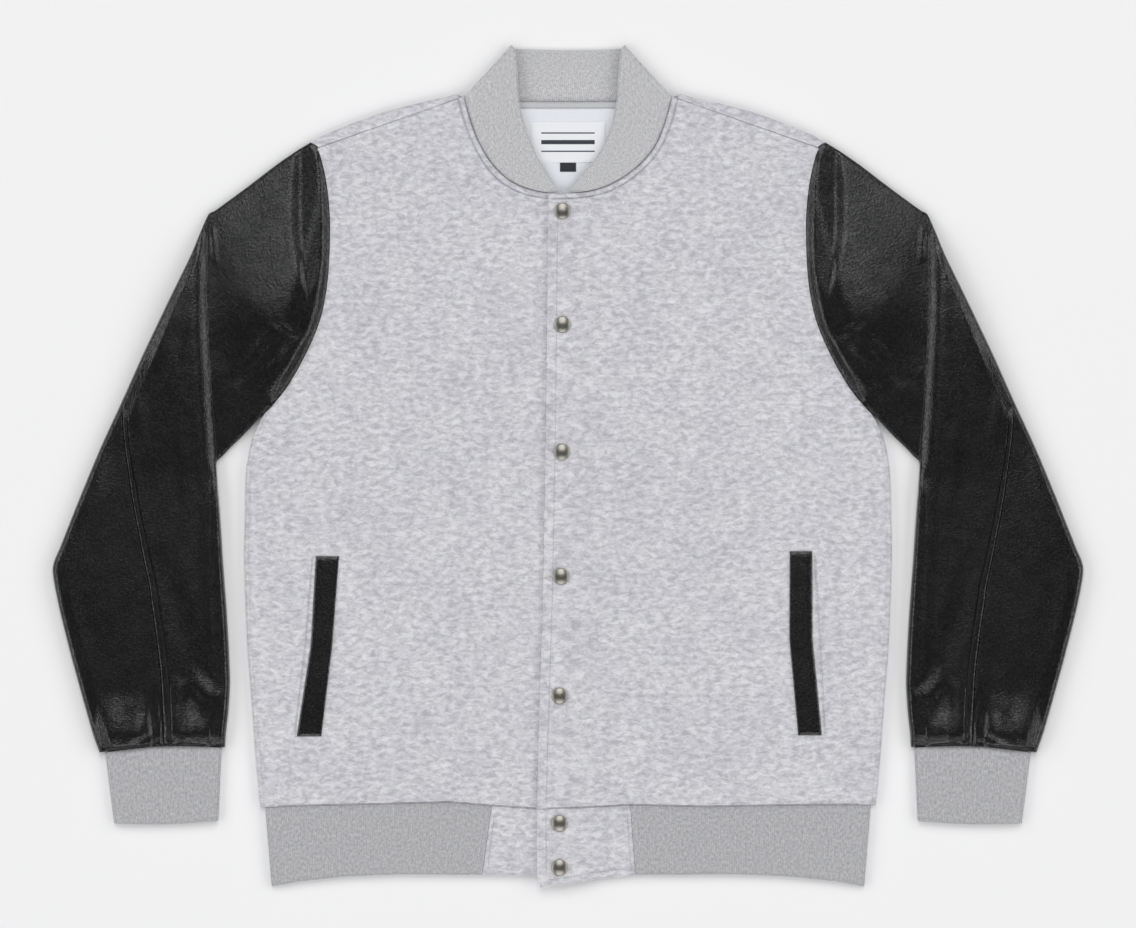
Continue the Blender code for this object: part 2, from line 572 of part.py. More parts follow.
def waistband_rib(collection):
    """One strip of rib knit from tab to tab, round both folded sides and across the back."""
    columns = []
    for side in (-1, 1):
        shares = [share for share in front_shares(side) if FRONT_RIM[4] <= share]
        part = [("front", side, share) for share in reversed(shares[: shares.index(front_shares(side)[9]) + 1])]
        part += [("fold", side, n) for n in FOLD_STATIONS]
        columns.append(part)
    across = [("back", 0, k) for k in (-0.75, -0.5, -0.25, 0.0, 0.25, 0.5, 0.75)]
    columns = columns[0] + across + columns[1][::-1]

    def place(column, v, outer):
        kind, side, k = column
        half = mix(BAND_TOP_HALF, BAND_HEM_HALF, v)
        lowered = 0.9 if v in (0.0, 1.0) else 0.0
        top_y = BACK_WAIST_Y - SEAM_GAP / 2
        if kind == "back":
            x, height = k * half, (0.0 if outer else RIB)
        elif kind == "fold":
            inset, height = folded(abs(k) * RIB_FOLD, RIB_FOLD, RIB, 2 * RIB_FOLD, outer, k < 0.0)
            x = side * (half - inset)
            front_y = waist_y(x) - SEAM_GAP / 2
            top_y = front_y if k == -1.0 else min(front_y, top_y)
        else:
            x = front_waist_x(side, k)
            top_y = waist_y(x) - SEAM_GAP / 2
            seam_top, seam_foot = TAB_SEAM[side]
            x += side * SEAM_GAP / 2 * (k == front_shares(side)[9])
            foot_x = side * BAND_HEM_HALF + (seam_foot - side * BAND_HEM_HALF) * (x - side * BAND_TOP_HALF) / (
                seam_top - side * BAND_TOP_HALF)
            x = mix(x, foot_x, v)
            flat = ease((half - abs(x) - RIB_FOLD) / 22.0)
            height = mix(2 * RIB_FOLD, HEM_HEIGHT, flat) - (lowered if outer else RIB)
        return x, mix(top_y, hem_y(x), v), height

    cloth("waistband_rib", columns, [0.0, 0.06, 0.5, 0.94, 1.0], place, "rib_knit", collection)


def waist_tab(side, name, collection):
    """The fleece end of the waistband, over or under the lap."""
    shares = front_shares(side)[9:]

    def place(share, v, outer):
        top_x = front_waist_x(side, share)
        part = (share - shares[0]) / (1.0 - shares[0])
        edge_x = top_x if part == 1.0 else front_waist_x(side, 1.0)
        if side > 0:
            edge_x += LAP_FOOT_ROUND * ease((v - 0.8) / 0.2)
        foot_x = mix(TAB_SEAM[side][1], edge_x, part)
        x = mix(top_x, foot_x, v) - side * SEAM_GAP / 2 * (part == 0.0)
        foot_y = straight(LAP_HEM, foot_x) if side > 0 else hem_y(foot_x)
        lift = lap_lift(share, side)
        lowered = 0.9 if v in (0.0, 1.0) else 0.0
        y = mix(waist_y(top_x) - SEAM_GAP / 2, foot_y, v)
        return x, y, HEM_HEIGHT + lift - (lowered if outer else FLEECE)

    cloth(name, shares, [0.0, 0.06, 0.5, 0.8, 0.94, 1.0], place, "fleece", collection)


# ---------------------------------------------------------------- neck


def collar(collection):
    """One folded strip of rib knit round the neck: each front lies on top, and the back lies underneath."""
    front = [max(share, COLLAR_START) for share in NECK_SHARES[1:-1]]
    columns = [("front", -1, share) for share in front] + [("fold", -1, n) for n in FOLD_STATIONS]
    columns += [("back", 0, k) for k in (-0.75, -0.5, -0.25, 0.0, 0.25, 0.5, 0.75)]
    columns += [("fold", 1, n) for n in reversed(FOLD_STATIONS)] + [("front", 1, share) for share in reversed(front)]
    foot_end, top_end = COLLAR_SEAM[-1], COLLAR_EDGE[-1]
    length = math.dist(foot_end, top_end)
    inward = ((foot_end[1] - top_end[1]) / length, (top_end[0] - foot_end[0]) / length)

    def place(column, v, outer):
        kind, side, k = column
        if kind == "front":
            foot, edge = collar_seam(k), collar_edge((k - COLLAR_START) / (1.0 - COLLAR_START))
            shift = COLLAR_FOLD * ease((k - 0.6) / 0.4)
            x, y = mix(foot[0], edge[0], v) + inward[0] * shift * v, mix(foot[1], edge[1], v) + inward[1] * shift * v
            gap = SEAM_GAP * (1.0 - v)
            x, y = x - gap * 0.7, y + gap * 0.7
            height = 2 * COLLAR_FOLD + 1.4 * math.sin(math.pi * k) * ease(v) - (0.8 if v in (0.0, 1.0) else 0.0)
            return side * x + neck_lean(y), y, (height if outer else 2 * COLLAR_FOLD - RIB)
        if kind == "back":
            foot_x = k * (foot_end[0] + inward[0] * COLLAR_FOLD)
            top_x = k * (top_end[0] + inward[0] * COLLAR_FOLD)
            top_y = mix(top_end[1] - COLLAR_TOP_DIP, top_end[1] + inward[1] * COLLAR_FOLD, k * k)
            return mix(foot_x, top_x, v), mix(back_neck_y(foot_x) + SEAM_GAP, top_y, v), (0.0 if outer else RIB)
        inset, height = folded(abs(k) * COLLAR_FOLD, COLLAR_FOLD, RIB, 2 * COLLAR_FOLD, outer, k < 0.0)
        x, y = (mix(foot, top, v) + toward * inset for foot, top, toward in zip(foot_end, top_end, inward))
        return side * x, y, height

    cloth("collar", columns, [0.0, 0.08, 0.35, 0.65, 0.92, 1.0], place, "rib_knit", collection)


def neck_binding(side, name, collection):
    """The narrow turned band between the front's neck edge and the collar."""
    shares = NECK_SHARES if side > 0 else [UNDER_BINDING_START, *NECK_SHARES[2:]]

    def place(share, across, outer):
        low, high = neck_edge(share), collar_seam(share)
        width = math.dist(low, high)
        k = mix(SEAM_GAP / width, 1.0 - SEAM_GAP / width, across)
        x, y = mix(low[0], high[0], k), mix(low[1], high[1], k)
        lift = LAP_LIFT * (1.0 - ease((share - 0.14) / 0.12)) if side > 0 else 0.0
        top = BODY_HEIGHT + 0.4 + lift + 0.7 * (across == 0.5)
        return side * x + neck_lean(y), y, (top if outer else BODY_HEIGHT - 1.6 + lift)

    cloth(name, shares, [0.0, 0.5, 1.0], place, "fleece", collection)


def level_piece(name, across, along, outline, low, thickness, slot, collection):
    """A thin piece lying level. outline(u, v) gives X and Y in mm for u and v from 0 to 1."""

    def place(u, v, outer):
        x, y = outline(u, v)
        return x, y, (low + thickness if outer else low)

    columns, rows = [n / across for n in range(across + 1)], [n / along for n in range(along + 1)]
    cloth(name, columns, rows, place, slot, collection)


def neck_inside(collection):
    """What shows inside the neck: the back lining, the tape over the collar seam, the label and the size tab."""
    lining_low = FLEECE + SEAM_GAP
    trim_low = lining_low + LINING_HEIGHT + SEAM_GAP

    def lining(u, v):
        x = (2 * u - 1) * mix(LINING_HALF, LINING_FOOT_HALF, ease(v) ** 2)
        return x, mix(back_neck_y(x) - SEAM_GAP, LINING_FOOT_Y, v)

    def tape(u, v):
        x = (2 * u - 1) * TAPE_HALF
        return x, back_neck_y(x) - SEAM_GAP - TAPE_WIDTH * v

    def label(u, v):
        return (2 * u - 1) * LABEL_HALF, mix(LABEL_TOP, LABEL_FOOT, v)

    def size_tab(u, v):
        return (2 * u - 1) * SIZE_TAB_HALF, mix(LABEL_FOOT - SEAM_GAP, SIZE_TAB_FOOT, v)

    level_piece("back_neck_lining", 6, 5, lining, lining_low, LINING_HEIGHT, "lining", collection)
    level_piece("back_neck_tape", 6, 1, tape, trim_low, TAPE_HEIGHT, "lining", collection)
    level_piece("neck_label", 2, 2, label, trim_low, LABEL_HEIGHT, "label", collection)
    level_piece("size_tab", 1, 1, size_tab, trim_low, LABEL_HEIGHT, "size_tab", collection)


# ---------------------------------------------------------------- pockets and snaps


def pocket(side, suffix, collection):
    """The leather strip of the welt, and the lip of fleece beside its opening."""
    rows = WELTS[side]

    def edges(y):
        return [straight([(row.y, value(row)) for row in rows], y) for value in
                (lambda row: row.inner, lambda row: row.outer, lambda row: row.lip)]

    def on_front(x, y, lift):
        return side * x, y, front_height(x, y) + SEAM_GAP + lift

    def welt(across, y, outer):
        inner, far, _ = edges(y)
        return on_front(mix(inner, far, across), y, WELT_HEIGHT if outer else 0.0)

    def lip(across, y, outer):
        _, far, width = edges(y)
        return on_front(far + SEAM_GAP + across * width, y, LIP_HEIGHT if outer else 0.0)

    heights = [mix(rows[0].y, rows[1].y, k) for k in (0.0, 0.5)] + [mix(rows[1].y, rows[2].y, k) for k in (0.0, 0.5, 1.0)]
    cloth(f"pocket_welt_{suffix}", [0.0, 0.5, 1.0], heights, welt, "leather", collection)
    cloth(f"pocket_lip_{suffix}", [0.0, 1.0], heights, lip, "fleece", collection)


def snap(name, x, y, seat, collection):
    """A domed cap on a rolled rim, turned about the snap's axis."""
    dome = [(0.9 * math.sin(a), 0.35 + 0.65 * math.cos(a)) for a in (0.0, 0.5, 0.95, 1.35)]
    profile = [(SNAP_RADIUS * r, SNAP_HEIGHT * z) for r, z in dome]
    profile += [(SNAP_RADIUS, 0.9), (SNAP_RADIUS * 0.97, 0.2), (SNAP_RADIUS * 0.8, 0.0), (0.0, 0.0)]
    mesh = bpy.data.meshes.new(name)
    mesh.from_pydata([(r * MM, 0.0, z * MM) for r, z in profile], [(n, n + 1) for n in range(len(profile) - 1)], [])
    mesh.materials.append(material("snap"))
    made = bpy.data.objects.new(name, mesh)
    made.location = (x * MM, y * MM, seat * MM)
    collection.objects.link(made)
    turned = made.modifiers.new("turned", "SCREW")
    turned.steps = turned.render_steps = 16
    turned.use_merge_vertices = True
    turned.merge_threshold = 0.00001
    turned.use_smooth_shade = True


def main():
    for old in list(bpy.data.objects):
        bpy.data.objects.remove(old)
    jacket = bpy.data.collections.new("varsity_jacket")
    bpy.context.scene.collection.children.link(jacket)
    back_panel(jacket)
    for side, suffix in ((1, "left"), (-1, "right")):
        front_panel(side, f"front_panel_{suffix}", jacket)
        top_sleeve(side, f"top_sleeve_{suffix}", jacket)
        under_sleeve(side, f"under_sleeve_{suffix}", jacket)
        cuff(side, f"cuff_{suffix}", jacket)
        waist_tab(side, f"waist_tab_{suffix}", jacket)
        neck_binding(side, f"neck_binding_{suffix}", jacket)
        pocket(side, suffix, jacket)
    waistband_rib(jacket)
    collar(jacket)
    neck_inside(jacket)
    for n, (x, y) in enumerate(SNAPS, 1):
        seat = HEM_HEIGHT if n > len(SNAPS) - WAIST_SNAPS else BODY_HEIGHT
        snap(f"snap_{n}", x, y, seat + LAP_LIFT + SEAM_GAP, jacket)


main()
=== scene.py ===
"""The looks of a varsity jacket, fastened and laid flat on its back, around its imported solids.

The sections follow the jacket as it is sewn together. Tables are in millimetres: +X is the wearer's left, +Y runs
from hem to collar and +Z is up. A table for both halves holds the distance from the middle, and a half is called
by its side: +1 for the wearer's left, whose front laps over the other, and -1 for the wearer's right.
"""

import math

import bpy
import numpy as np
from mathutils import Matrix, Vector


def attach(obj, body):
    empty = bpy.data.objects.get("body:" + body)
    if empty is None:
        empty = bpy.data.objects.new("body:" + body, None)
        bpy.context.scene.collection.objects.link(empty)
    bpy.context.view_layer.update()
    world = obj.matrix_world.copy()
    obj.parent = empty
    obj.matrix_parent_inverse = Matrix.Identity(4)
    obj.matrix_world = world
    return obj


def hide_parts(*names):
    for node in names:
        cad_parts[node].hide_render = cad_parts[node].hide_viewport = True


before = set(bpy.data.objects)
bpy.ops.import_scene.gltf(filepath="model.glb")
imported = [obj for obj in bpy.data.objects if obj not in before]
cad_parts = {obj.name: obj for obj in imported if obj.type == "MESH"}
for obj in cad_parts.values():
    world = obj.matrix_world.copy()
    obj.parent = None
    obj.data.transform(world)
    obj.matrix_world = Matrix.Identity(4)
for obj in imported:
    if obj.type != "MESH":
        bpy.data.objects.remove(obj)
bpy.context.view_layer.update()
bpy.ops.object.select_all(action="DESELECT")
bpy.context.scene.view_settings.view_transform = "Standard"

# ---------------------------------------------------------------- camera
# A long lens hangs 4.3 m over the middle of the jacket and looks straight down, with the collar at the top of the
# picture.
camera_data = bpy.data.cameras.new("camera")
camera_data.lens = 150.0
camera_data.sensor_width = 36.0
camera = bpy.data.objects.new("camera", camera_data)
camera.location = (0.0, 0.0018, 4.255)
bpy.context.scene.collection.objects.link(camera)
bpy.context.scene.camera = camera

# ---------------------------------------------------------------- floor
# The jacket lies on a sheet of pale matt paper, which is no part of it. The paper gives an even light ground that
# takes soft shadows.


def linear(code):
    """An sRGB hex colour as linear RGBA."""
    parts = [int(code[n : n + 2], 16) / 255 for n in (1, 3, 5)]
    return (*[((c + 0.055) / 1.055) ** 2.4 if c > 0.04 else c / 12.92 for c in parts], 1.0)


def new_material(name):
    material = bpy.data.materials.new(name)
    material.use_nodes = True
    return material


def feed(material, node, inputs):
    """Gives each input of a node its value, or the node and output that feed it."""
    for name, value in inputs.items():
        if isinstance(value, tuple) and isinstance(value[0], bpy.types.Node):
            material.node_tree.links.new(value[0].outputs[value[1]], node.inputs[name])
        else:
            node.inputs[name].default_value = value


def finish_of(material, **sockets):
    """Sets the inputs of the material's own shader. A _ in a name stands for a space."""
    shader = material.node_tree.nodes["Principled BSDF"]
    feed(material, shader, {name.replace("_", " "): value for name, value in sockets.items()})


bpy.ops.mesh.primitive_plane_add(size=6.0, location=(0, 0, 0))
floor = bpy.context.object
floor.name = "floor"
pale_paper = new_material("pale_paper")
finish_of(pale_paper, Base_Color=linear("#f4f4f5"), Roughness=0.9)
floor.data.materials.append(pale_paper)

# ---------------------------------------------------------------- back panel
# One piece of brushed-back fleece, cut with the shoulders' slope. It lies flat on the table, and its top edge
# rolls forward over each shoulder to the shoulder seam.
MM = 0.001
SEAM_GAP = 0.3  # between pieces that are sewn together
HALF_GAP = SEAM_GAP / 2
FLEECE_WALL = 2.4
SHOULDER_ROLL = 4.2  # radius of the roll over the shoulder
SEAM_DIP = 0.9  # cloth is drawn down this far at its seams
SIDE_SEAM = (
    (276.5, -306.0), (281.0, -254.0), (284.0, -210.5), (287.5, -167.0), (289.5, -124.0), (290.7, -81.0),
    (290.0, -38.0), (289.3, -8.0), (287.0, 9.0), (283.5, 24.0), (278.5, 37.0), (272.0, 47.5),
)
ARMHOLE = (
    (231.0, 290.8), (225.2, 285.2), (221.0, 274.0), (216.5, 253.0), (213.8, 226.0), (213.8, 194.0), (216.0, 163.0),
    (221.0, 136.0), (228.0, 116.0), (237.0, 97.0), (247.0, 79.0), (260.0, 60.5), (272.0, 47.5),
)
SHOULDER_SHARE = 0.0315  # of the armhole, from its tip to the end of the shoulder seam
SHOULDER_SEAM = ((98.5, 329.5), (225.2, 285.2))
SHOULDER_TOP = ((98.8, 333.8), (128.0, 327.8), (165.0, 318.4), (196.0, 307.5), (222.0, 296.5), (231.0, 290.8))
BACK_NECK = ((0.0, 327.2), (60.0, 327.5), (89.7, 327.8), (94.0, 331.2))
BACK_WAIST_Y = -305.0
BACK_FOLDS = (
    (0.7, 14, 16, ((-190, -120), (-120, -150), (-40, -160))), (0.6, 12, 15, ((60, -205), (130, -190), (205, -165))),
    (0.8, 16, 12, ((-225, 120), (-150, 80), (-80, 65))), (0.7, 13, 17, ((90, 40), (160, 62), (236, 110))),
    (0.5, 10, 10, ((-20, 250), (-6, 190), (-10, 120))), (0.6, 9, 13, ((-240, -240), (-225, -285))),
    (0.6, 12, 9, ((-130, -262), (-122, -300))), (0.5, 9, 9, ((35, -255), (44, -300))),
    (0.6, 11, 9, ((190, -260), (180, -302))),
)


def add(material, kind, inputs=(), **settings):
    """Adds a shader node with its settings and inputs."""
    node = material.node_tree.nodes.new("ShaderNode" + kind)
    for name, value in settings.items():
        setattr(node, name, value)
    feed(material, node, dict(inputs))
    return node


def blend(material, share, low, high, **settings):
    """A node that goes from one colour to the other by a share."""
    return add(material, "Mix", {0: share, 6: low, 7: high}, data_type="RGBA", **settings)


def bump(material, height, strength, distance, **inputs):
    return add(material, "Bump", {"Height": height, "Strength": strength, "Distance": distance, **inputs})


def share_of(material, node, low, high):
    """A node that says where a texture's value lies between two others."""
    return add(material, "MapRange", {"Value": (node, "Fac"), "From Min": low, "From Max": high})


def ease(k):
    """0 to 1 with a soft start and a soft end."""
    k = np.clip(k, 0.0, 1.0)
    return k * k * (3.0 - 2.0 * k)


def mix(a, b, k):
    return a + (b - a) * k


def dip(away, depth, reach):
    """A depth that fades softly to nothing with the distance from an edge."""
    return depth * (1 - ease(away / reach))


def groove(away, depth, half):
    """The depth of a round groove or ridge, by the distance from its line."""
    return depth * np.exp(-((away / half) ** 2))


def runs(stops, counts):
    """Numbers from the first stop to the last. A count is how many lie from one stop to the next, both included."""
    steps = [np.linspace(start, end, count)[1:] for start, end, count in zip(stops, stops[1:], counts)]
    return np.concatenate([stops[:1], *steps])


def points_of(*columns):
    """Points out of X, Y and, on a piece of cloth, Z."""
    return np.stack(np.broadcast_arrays(*columns), axis=-1)


def straight(rows, value, key=0):
    """The other column of a two-column table, in straight steps."""
    rows = np.array(sorted(rows, key=lambda row: row[key]), float)
    return np.interp(value, rows[:, key], rows[:, 1 - key])


def line_through(points, shares):
    """Points at these shares of the length of a smooth line through the given ones."""
    p = np.array([points[0], *points, points[-1]], float)
    a, b, c, d = p[:-3], p[1:-2], p[2:-1], p[3:]
    k = np.linspace(0, 1, 16, endpoint=False)[:, None, None]
    dense = 0.5 * (2 * b + (c - a) * k + (2 * a - 5 * b + 4 * c - d) * k**2 + (3 * b - a - 3 * c + d) * k**3)
    dense = np.concatenate([dense.transpose(1, 0, 2).reshape(-1, p.shape[1]), p[-1:]])
    reach = np.concatenate([[0.0], np.cumsum(np.linalg.norm(np.diff(dense, axis=0), axis=1))])
    goal = np.clip(shares, 0.0, 1.0) * reach[-1]
    return np.stack([np.interp(goal, reach, column) for column in dense.T], axis=-1)


def beside(x, y, points):
    """Distance from a smooth line, plus on its left and minus on its right, and the share of the way along it."""
    line = line_through(points, np.linspace(0, 1, 25))
    near = np.full(np.shape(x), 1e9)
    off, share = np.zeros(np.shape(x)), np.zeros(np.shape(x))
    for n, (start, end) in enumerate(zip(line, line[1:])):
        run = end - start
        k = np.clip(((x - start[0]) * run[0] + (y - start[1]) * run[1]) / (run @ run), 0.0, 1.0)
        away_x, away_y = x - start[0] - k * run[0], y - start[1] - k * run[1]
        distance = np.hypot(away_x, away_y)
        closer = distance < near
        near = np.where(closer, distance, near)
        off = np.where(closer, run[0] * away_y - run[1] * away_x, off)
        share = np.where(closer, (n + k) / 24, share)
    return np.where(off > 0, near, -near), share


def folds(x, y, rows):
    """Height in mm that soft folds add at X, Y. A row holds a fold's height, its reach to the right and to the left
    of its line, and the line."""
    total = np.zeros(np.shape(x))
    for height, right, left, points in rows:
        off, share = beside(x, y, points)
        u = np.clip(np.abs(off) / np.where(off > 0, left, right), 0.0, 1.0)
        total += height * np.sin(math.pi * share) ** 0.7 * (1 - u) ** 1.7 * (1 + 1.7 * u)
    return total


def cloth(name, points, wall, finish, outward=True, uv=None):
    """A sheet of cloth. Its outer face runs through a grid of points in mm, and its wall lies behind that face."""
    rows, columns = points.shape[:2]
    index = np.arange(rows * columns).reshape(rows, columns)
    quads = np.stack([index[:-1, :-1], index[:-1, 1:], index[1:, 1:], index[1:, :-1]], axis=-1).reshape(-1, 4)
    if not outward:
        quads = quads[:, ::-1]
    mesh = bpy.data.meshes.new(name)
    mesh.from_pydata((points.reshape(-1, 3) * MM).tolist(), [], quads.tolist())
    if uv is not None:
        layer = mesh.uv_layers.new(name="along_the_cloth")
        layer.data.foreach_set("uv", (uv.reshape(-1, 2)[quads.ravel()] * MM).ravel())
    mesh.materials.append(finish)
    piece = bpy.data.objects.new(name, mesh)
    bpy.context.scene.collection.objects.link(piece)
    bpy.ops.object.select_all(action="DESELECT")
    bpy.context.view_layer.objects.active = piece
    piece.select_set(True)
    bpy.ops.object.mode_set(mode="EDIT")
    bpy.ops.mesh.select_all(action="SELECT")
    bpy.ops.mesh.remove_doubles(threshold=0.00001)
    bpy.ops.object.mode_set(mode="OBJECT")
    bpy.ops.object.shade_smooth()
    thickness = piece.modifiers.new("wall", "SOLIDIFY")
    thickness.thickness = wall * MM
    thickness.offset = -1.0
    bpy.ops.object.modifier_apply(modifier=thickness.name)
    for vertex in piece.data.vertices:
        vertex.co.z = max(vertex.co.z, 0.0)  # the wall stays above the table
    bpy.ops.object.shade_smooth_by_angle(angle=math.radians(50))
    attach(piece, "root")
    return piece


# Marl fleece: white and grey fibres spun together and knitted, then brushed. It gives short level streaks of
# lighter and darker grey, drawn longer than the real fibres, and a soft nap with hardly any shine.
fleece = new_material("grey_marl_fleece")
place = add(fleece, "TexCoord")
courses = add(fleece, "Mapping", {"Vector": (place, "Object"), "Scale": (130, 240, 130)})
streaks = add(fleece, "TexNoise", {
    "Vector": (courses, "Vector"), "Scale": 1.0, "Detail": 7.0, "Roughness": 0.7, "Distortion": 0.4})
clouds = add(fleece, "TexNoise", {"Vector": (place, "Object"), "Scale": 24.0, "Detail": 3.0})
nap = add(fleece, "TexNoise", {"Vector": (place, "Object"), "Scale": 1100.0, "Detail": 2.0})
streak_share = share_of(fleece, streaks, 0.37, 0.63)
cloud_share = share_of(fleece, clouds, 0.3, 0.7)
marl = blend(fleece, (streak_share, 0), linear("#b7b7bd"), linear("#e6e6ea"))
shaded = blend(fleece, (cloud_share, 0), (marl, 2), linear("#f4f4f6"), blend_type="MULTIPLY")
raised = add(fleece, "Math", {0: (streaks, "Fac"), 1: (nap, "Fac")}, operation="ADD")
brushed = bump(fleece, (raised, "Value"), 0.55, 0.0008)
finish_of(fleece, Base_Color=(shaded, 2), Normal=(brushed, 0), Roughness=0.95, Sheen_Weight=0.1, Sheen_Roughness=0.6)

across = np.concatenate([
    np.linspace(0, 0.389, 16), np.linspace(0.39825, 0.4174, 4), np.linspace(0.4404, 0.995, 34), [1.0]])
across = np.concatenate([-across[:0:-1], across])[None, :]
edges = np.concatenate([
    line_through(SIDE_SEAM, np.linspace(0, 1, 90)), line_through(ARMHOLE, np.linspace(1, SHOULDER_SHARE, 70))[1:]])
edge_x, edge_y = edges[:, :1], edges[:, 1:]
edge_y[0] = BACK_WAIST_Y + HALF_GAP
armhole_x = ARMHOLE[1][0]
seam_y = straight(SHOULDER_SEAM, np.abs(across) * armhole_x)
head_y = np.maximum(straight(SHOULDER_TOP, np.abs(across) * ARMHOLE[0][0]) - SHOULDER_ROLL, seam_y + SEAM_DIP)
at_neck = np.abs(across) < 0.43
head_y = np.where(at_neck, straight(BACK_NECK, np.abs(across) * armhole_x), head_y)
top_y = ARMHOLE[0][1] - SHOULDER_ROLL
rise = np.clip((edge_y - ARMHOLE[-1][1]) / (top_y - ARMHOLE[-1][1]), 0.0, 1.0)
flat_x, flat_y = across * edge_x, edge_y + (head_y - top_y) * rise**1.5
flat_z = dip((1 - np.abs(across)) * edge_x, SEAM_DIP, 3.0) + folds(flat_x, flat_y, BACK_FOLDS)
turn = np.linspace(0, 1, 13)[1:, None] * math.pi
roll_x = across * mix(armhole_x - 0.9, ARMHOLE[0][0] - 1.2, np.sin(turn))
roll_y, roll_z = head_y + SHOULDER_ROLL * np.sin(turn), SHOULDER_ROLL * (1 - np.cos(turn))
end_x, end_z = roll_x[-1:], roll_z[-1:] - SEAM_DIP
end_y = straight(SHOULDER_SEAM, np.abs(end_x)) + SEAM_GAP
roll_x, roll_y = np.concatenate([roll_x, end_x]), np.concatenate([roll_y, end_y])
roll_z = np.concatenate([roll_z, end_z]) + 0 * roll_y
still = np.broadcast_to(at_neck, roll_x.shape)
roll_x = np.where(still, across * armhole_x, roll_x)
roll_y = np.where(still, head_y, roll_y)
roll_z = np.where(still, flat_z[-1:], roll_z)
grid = np.stack([np.concatenate(pair) for pair in ((flat_x, roll_x), (flat_y, roll_y), (flat_z, roll_z))], axis=-1)
back_panel = cloth("back_panel_cloth", grid, FLEECE_WALL, fleece, outward=False)
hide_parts("back_panel")

# ---------------------------------------------------------------- front panels
# Two panels of the same fleece. The wearer's left laps over the other, and its edge is turned in and topstitched.
# Both are sewn to the back at the side and the shoulder.
SIDES = {1: "left", -1: "right"}
BODY_HEIGHT = 8.2  # top of the front over the table
ARMPIT_PUFF, ARMPIT_REACH, ARMPIT_MIDDLE = 2.2, 26.0, (258.0, 46.0)
LAP_LIFT = 3.5  # the upper front stands on the under front by this much
LAP_FULL, LAP_FADE = 10.0, 22.0  # X where the lift is full, and how much further on it has died away
LAP_STITCHING = 8.5  # from the lap's edge
UNDER_EDGE = 8.4  # X of the under front's own edge, hidden by the lap
SIDE_ROUND, SIDE_HEIGHT = 7.0, 4.4  # the front rounds down to the side seam over this width, to this height
SIDE_SEAM_IN = 3.4  # the side seam's groove lies this far in from the edge
WAIST_DIP, WAIST_DIP_REACH = 1.7, 2.8  # the fleece is drawn down into the waist seam
LAP_EDGE = ((-28.0, -309.0), (-27.0, -264.0), (-25.2, -201.0), (-22.5, -120.0), (-19.8, 32.0), (-17.6, 239.2))
WAIST_SEAM = (
    (-277.0, -306.5), (-240.0, -305.2), (-150.0, -303.2), (-106.0, -302.0), (-70.0, -305.0), (-28.0, -308.0),
    (30.0, -306.0), (57.0, -304.5), (120.0, -306.0), (210.0, -304.5), (277.0, -304.0),
)
NECK_EDGE = (
    (-13.0, 239.2), (13.0, 240.0), (30.0, 242.6), (43.0, 247.0), (55.5, 254.0), (66.5, 263.0), (76.5, 274.5),
    (85.0, 288.5), (91.0, 303.0), (95.5, 317.0), (98.5, 329.5),
)
NECK_LEAN, NECK_LEAN_FROM, NECK_LEAN_TO = -4.6, 240.0, 290.0
FRONT_FOLDS = {  # X is measured from the middle outwards here
    -1: (
        (-0.8, 9, 12, ((245, 112), (205, 104), (165, 103))), (-1.0, 6, 5, ((236, 80), (233, 55), (234, 26))),
        (-0.8, 9, 9, ((252, 15), (236, 2), (222, -10))), (1.8, 7, 6, ((282, 40), (268, 44), (258, 30), (262, 8))),
        (-1.1, 6, 5, ((256, 48), (250, 36), (252, 20))), (-0.8, 6, 8, ((182, -262), (170, -280), (154, -300))),
        (0.7, 7, 7, ((196, -268), (184, -286), (172, -302))), (-0.6, 6, 6, ((196, -242), (188, -256))),
        (-0.7, 7, 6, ((108, -262), (98, -282), (92, -304))), (0.6, 8, 8, ((118, -270), (110, -304))),
        (-0.6, 6, 9, ((252, -268), (246, -304))), (0.6, 8, 6, ((232, -272), (228, -304))),
        (-0.7, 9, 9, ((118, 306), (102, 292), (84, 276))), (0.5, 10, 8, ((128, 290), (104, 270), (82, 258))),
        (0.6, 20, 24, ((60, 150), (130, 128), (205, 132))), (-0.5, 18, 14, ((40, 20), (110, -6), (190, 4))),
        (0.5, 18, 22, ((70, -120), (140, -150), (190, -140))), (-0.5, 12, 10, ((50, 60), (46, 0), (52, -70))),
        (-0.7, 7, 9, ((216, 250), (200, 246), (182, 236))), (-0.6, 8, 8, ((216, 180), (198, 170), (184, 172))),
        (-0.6, 6, 6, ((60, -282), (52, -304))), (-0.5, 10, 12, ((150, 240), (120, 200), (112, 160))),
    ),
    1: (
        (-1.0, 6, 6, ((234, 96), (228, 78), (220, 58))), (-1.0, 11, 9, ((268, 62), (250, 40), (232, 22))),
        (0.7, 9, 8, ((262, 26), (246, 8), (224, 0))), (-0.8, 5, 5, ((150, -266), (158, -276), (168, -284))),
        (-0.7, 9, 9, ((160, 300), (130, 294), (98, 280))), (0.5, 9, 9, ((170, 284), (132, 276), (92, 262))),
        (-0.6, 7, 6, ((92, -272), (100, -304))), (0.6, 8, 7, ((112, -276), (116, -304))),
        (-0.7, 6, 8, ((196, -270), (204, -304))), (0.6, 7, 7, ((226, -268), (232, -304))),
        (-0.6, 6, 6, ((252, -276), (256, -304))), (-0.6, 6, 6, ((48, -280), (54, -304))),
        (0.6, 22, 20, ((50, 160), (120, 140), (200, 150))), (-0.5, 16, 14, ((60, 44), (130, 20), (210, 30))),
        (0.5, 20, 22, ((60, -130), (120, -160), (180, -150))), (-0.5, 9, 9, ((40, 90), (44, 20), (38, -40))),
        (-0.7, 8, 8, ((216, 236), (200, 232), (186, 222))), (-0.5, 9, 12, ((140, 244), (112, 210), (104, 170))),
    ),
}


def lap_x(y):
    return straight(LAP_EDGE, y, key=1)


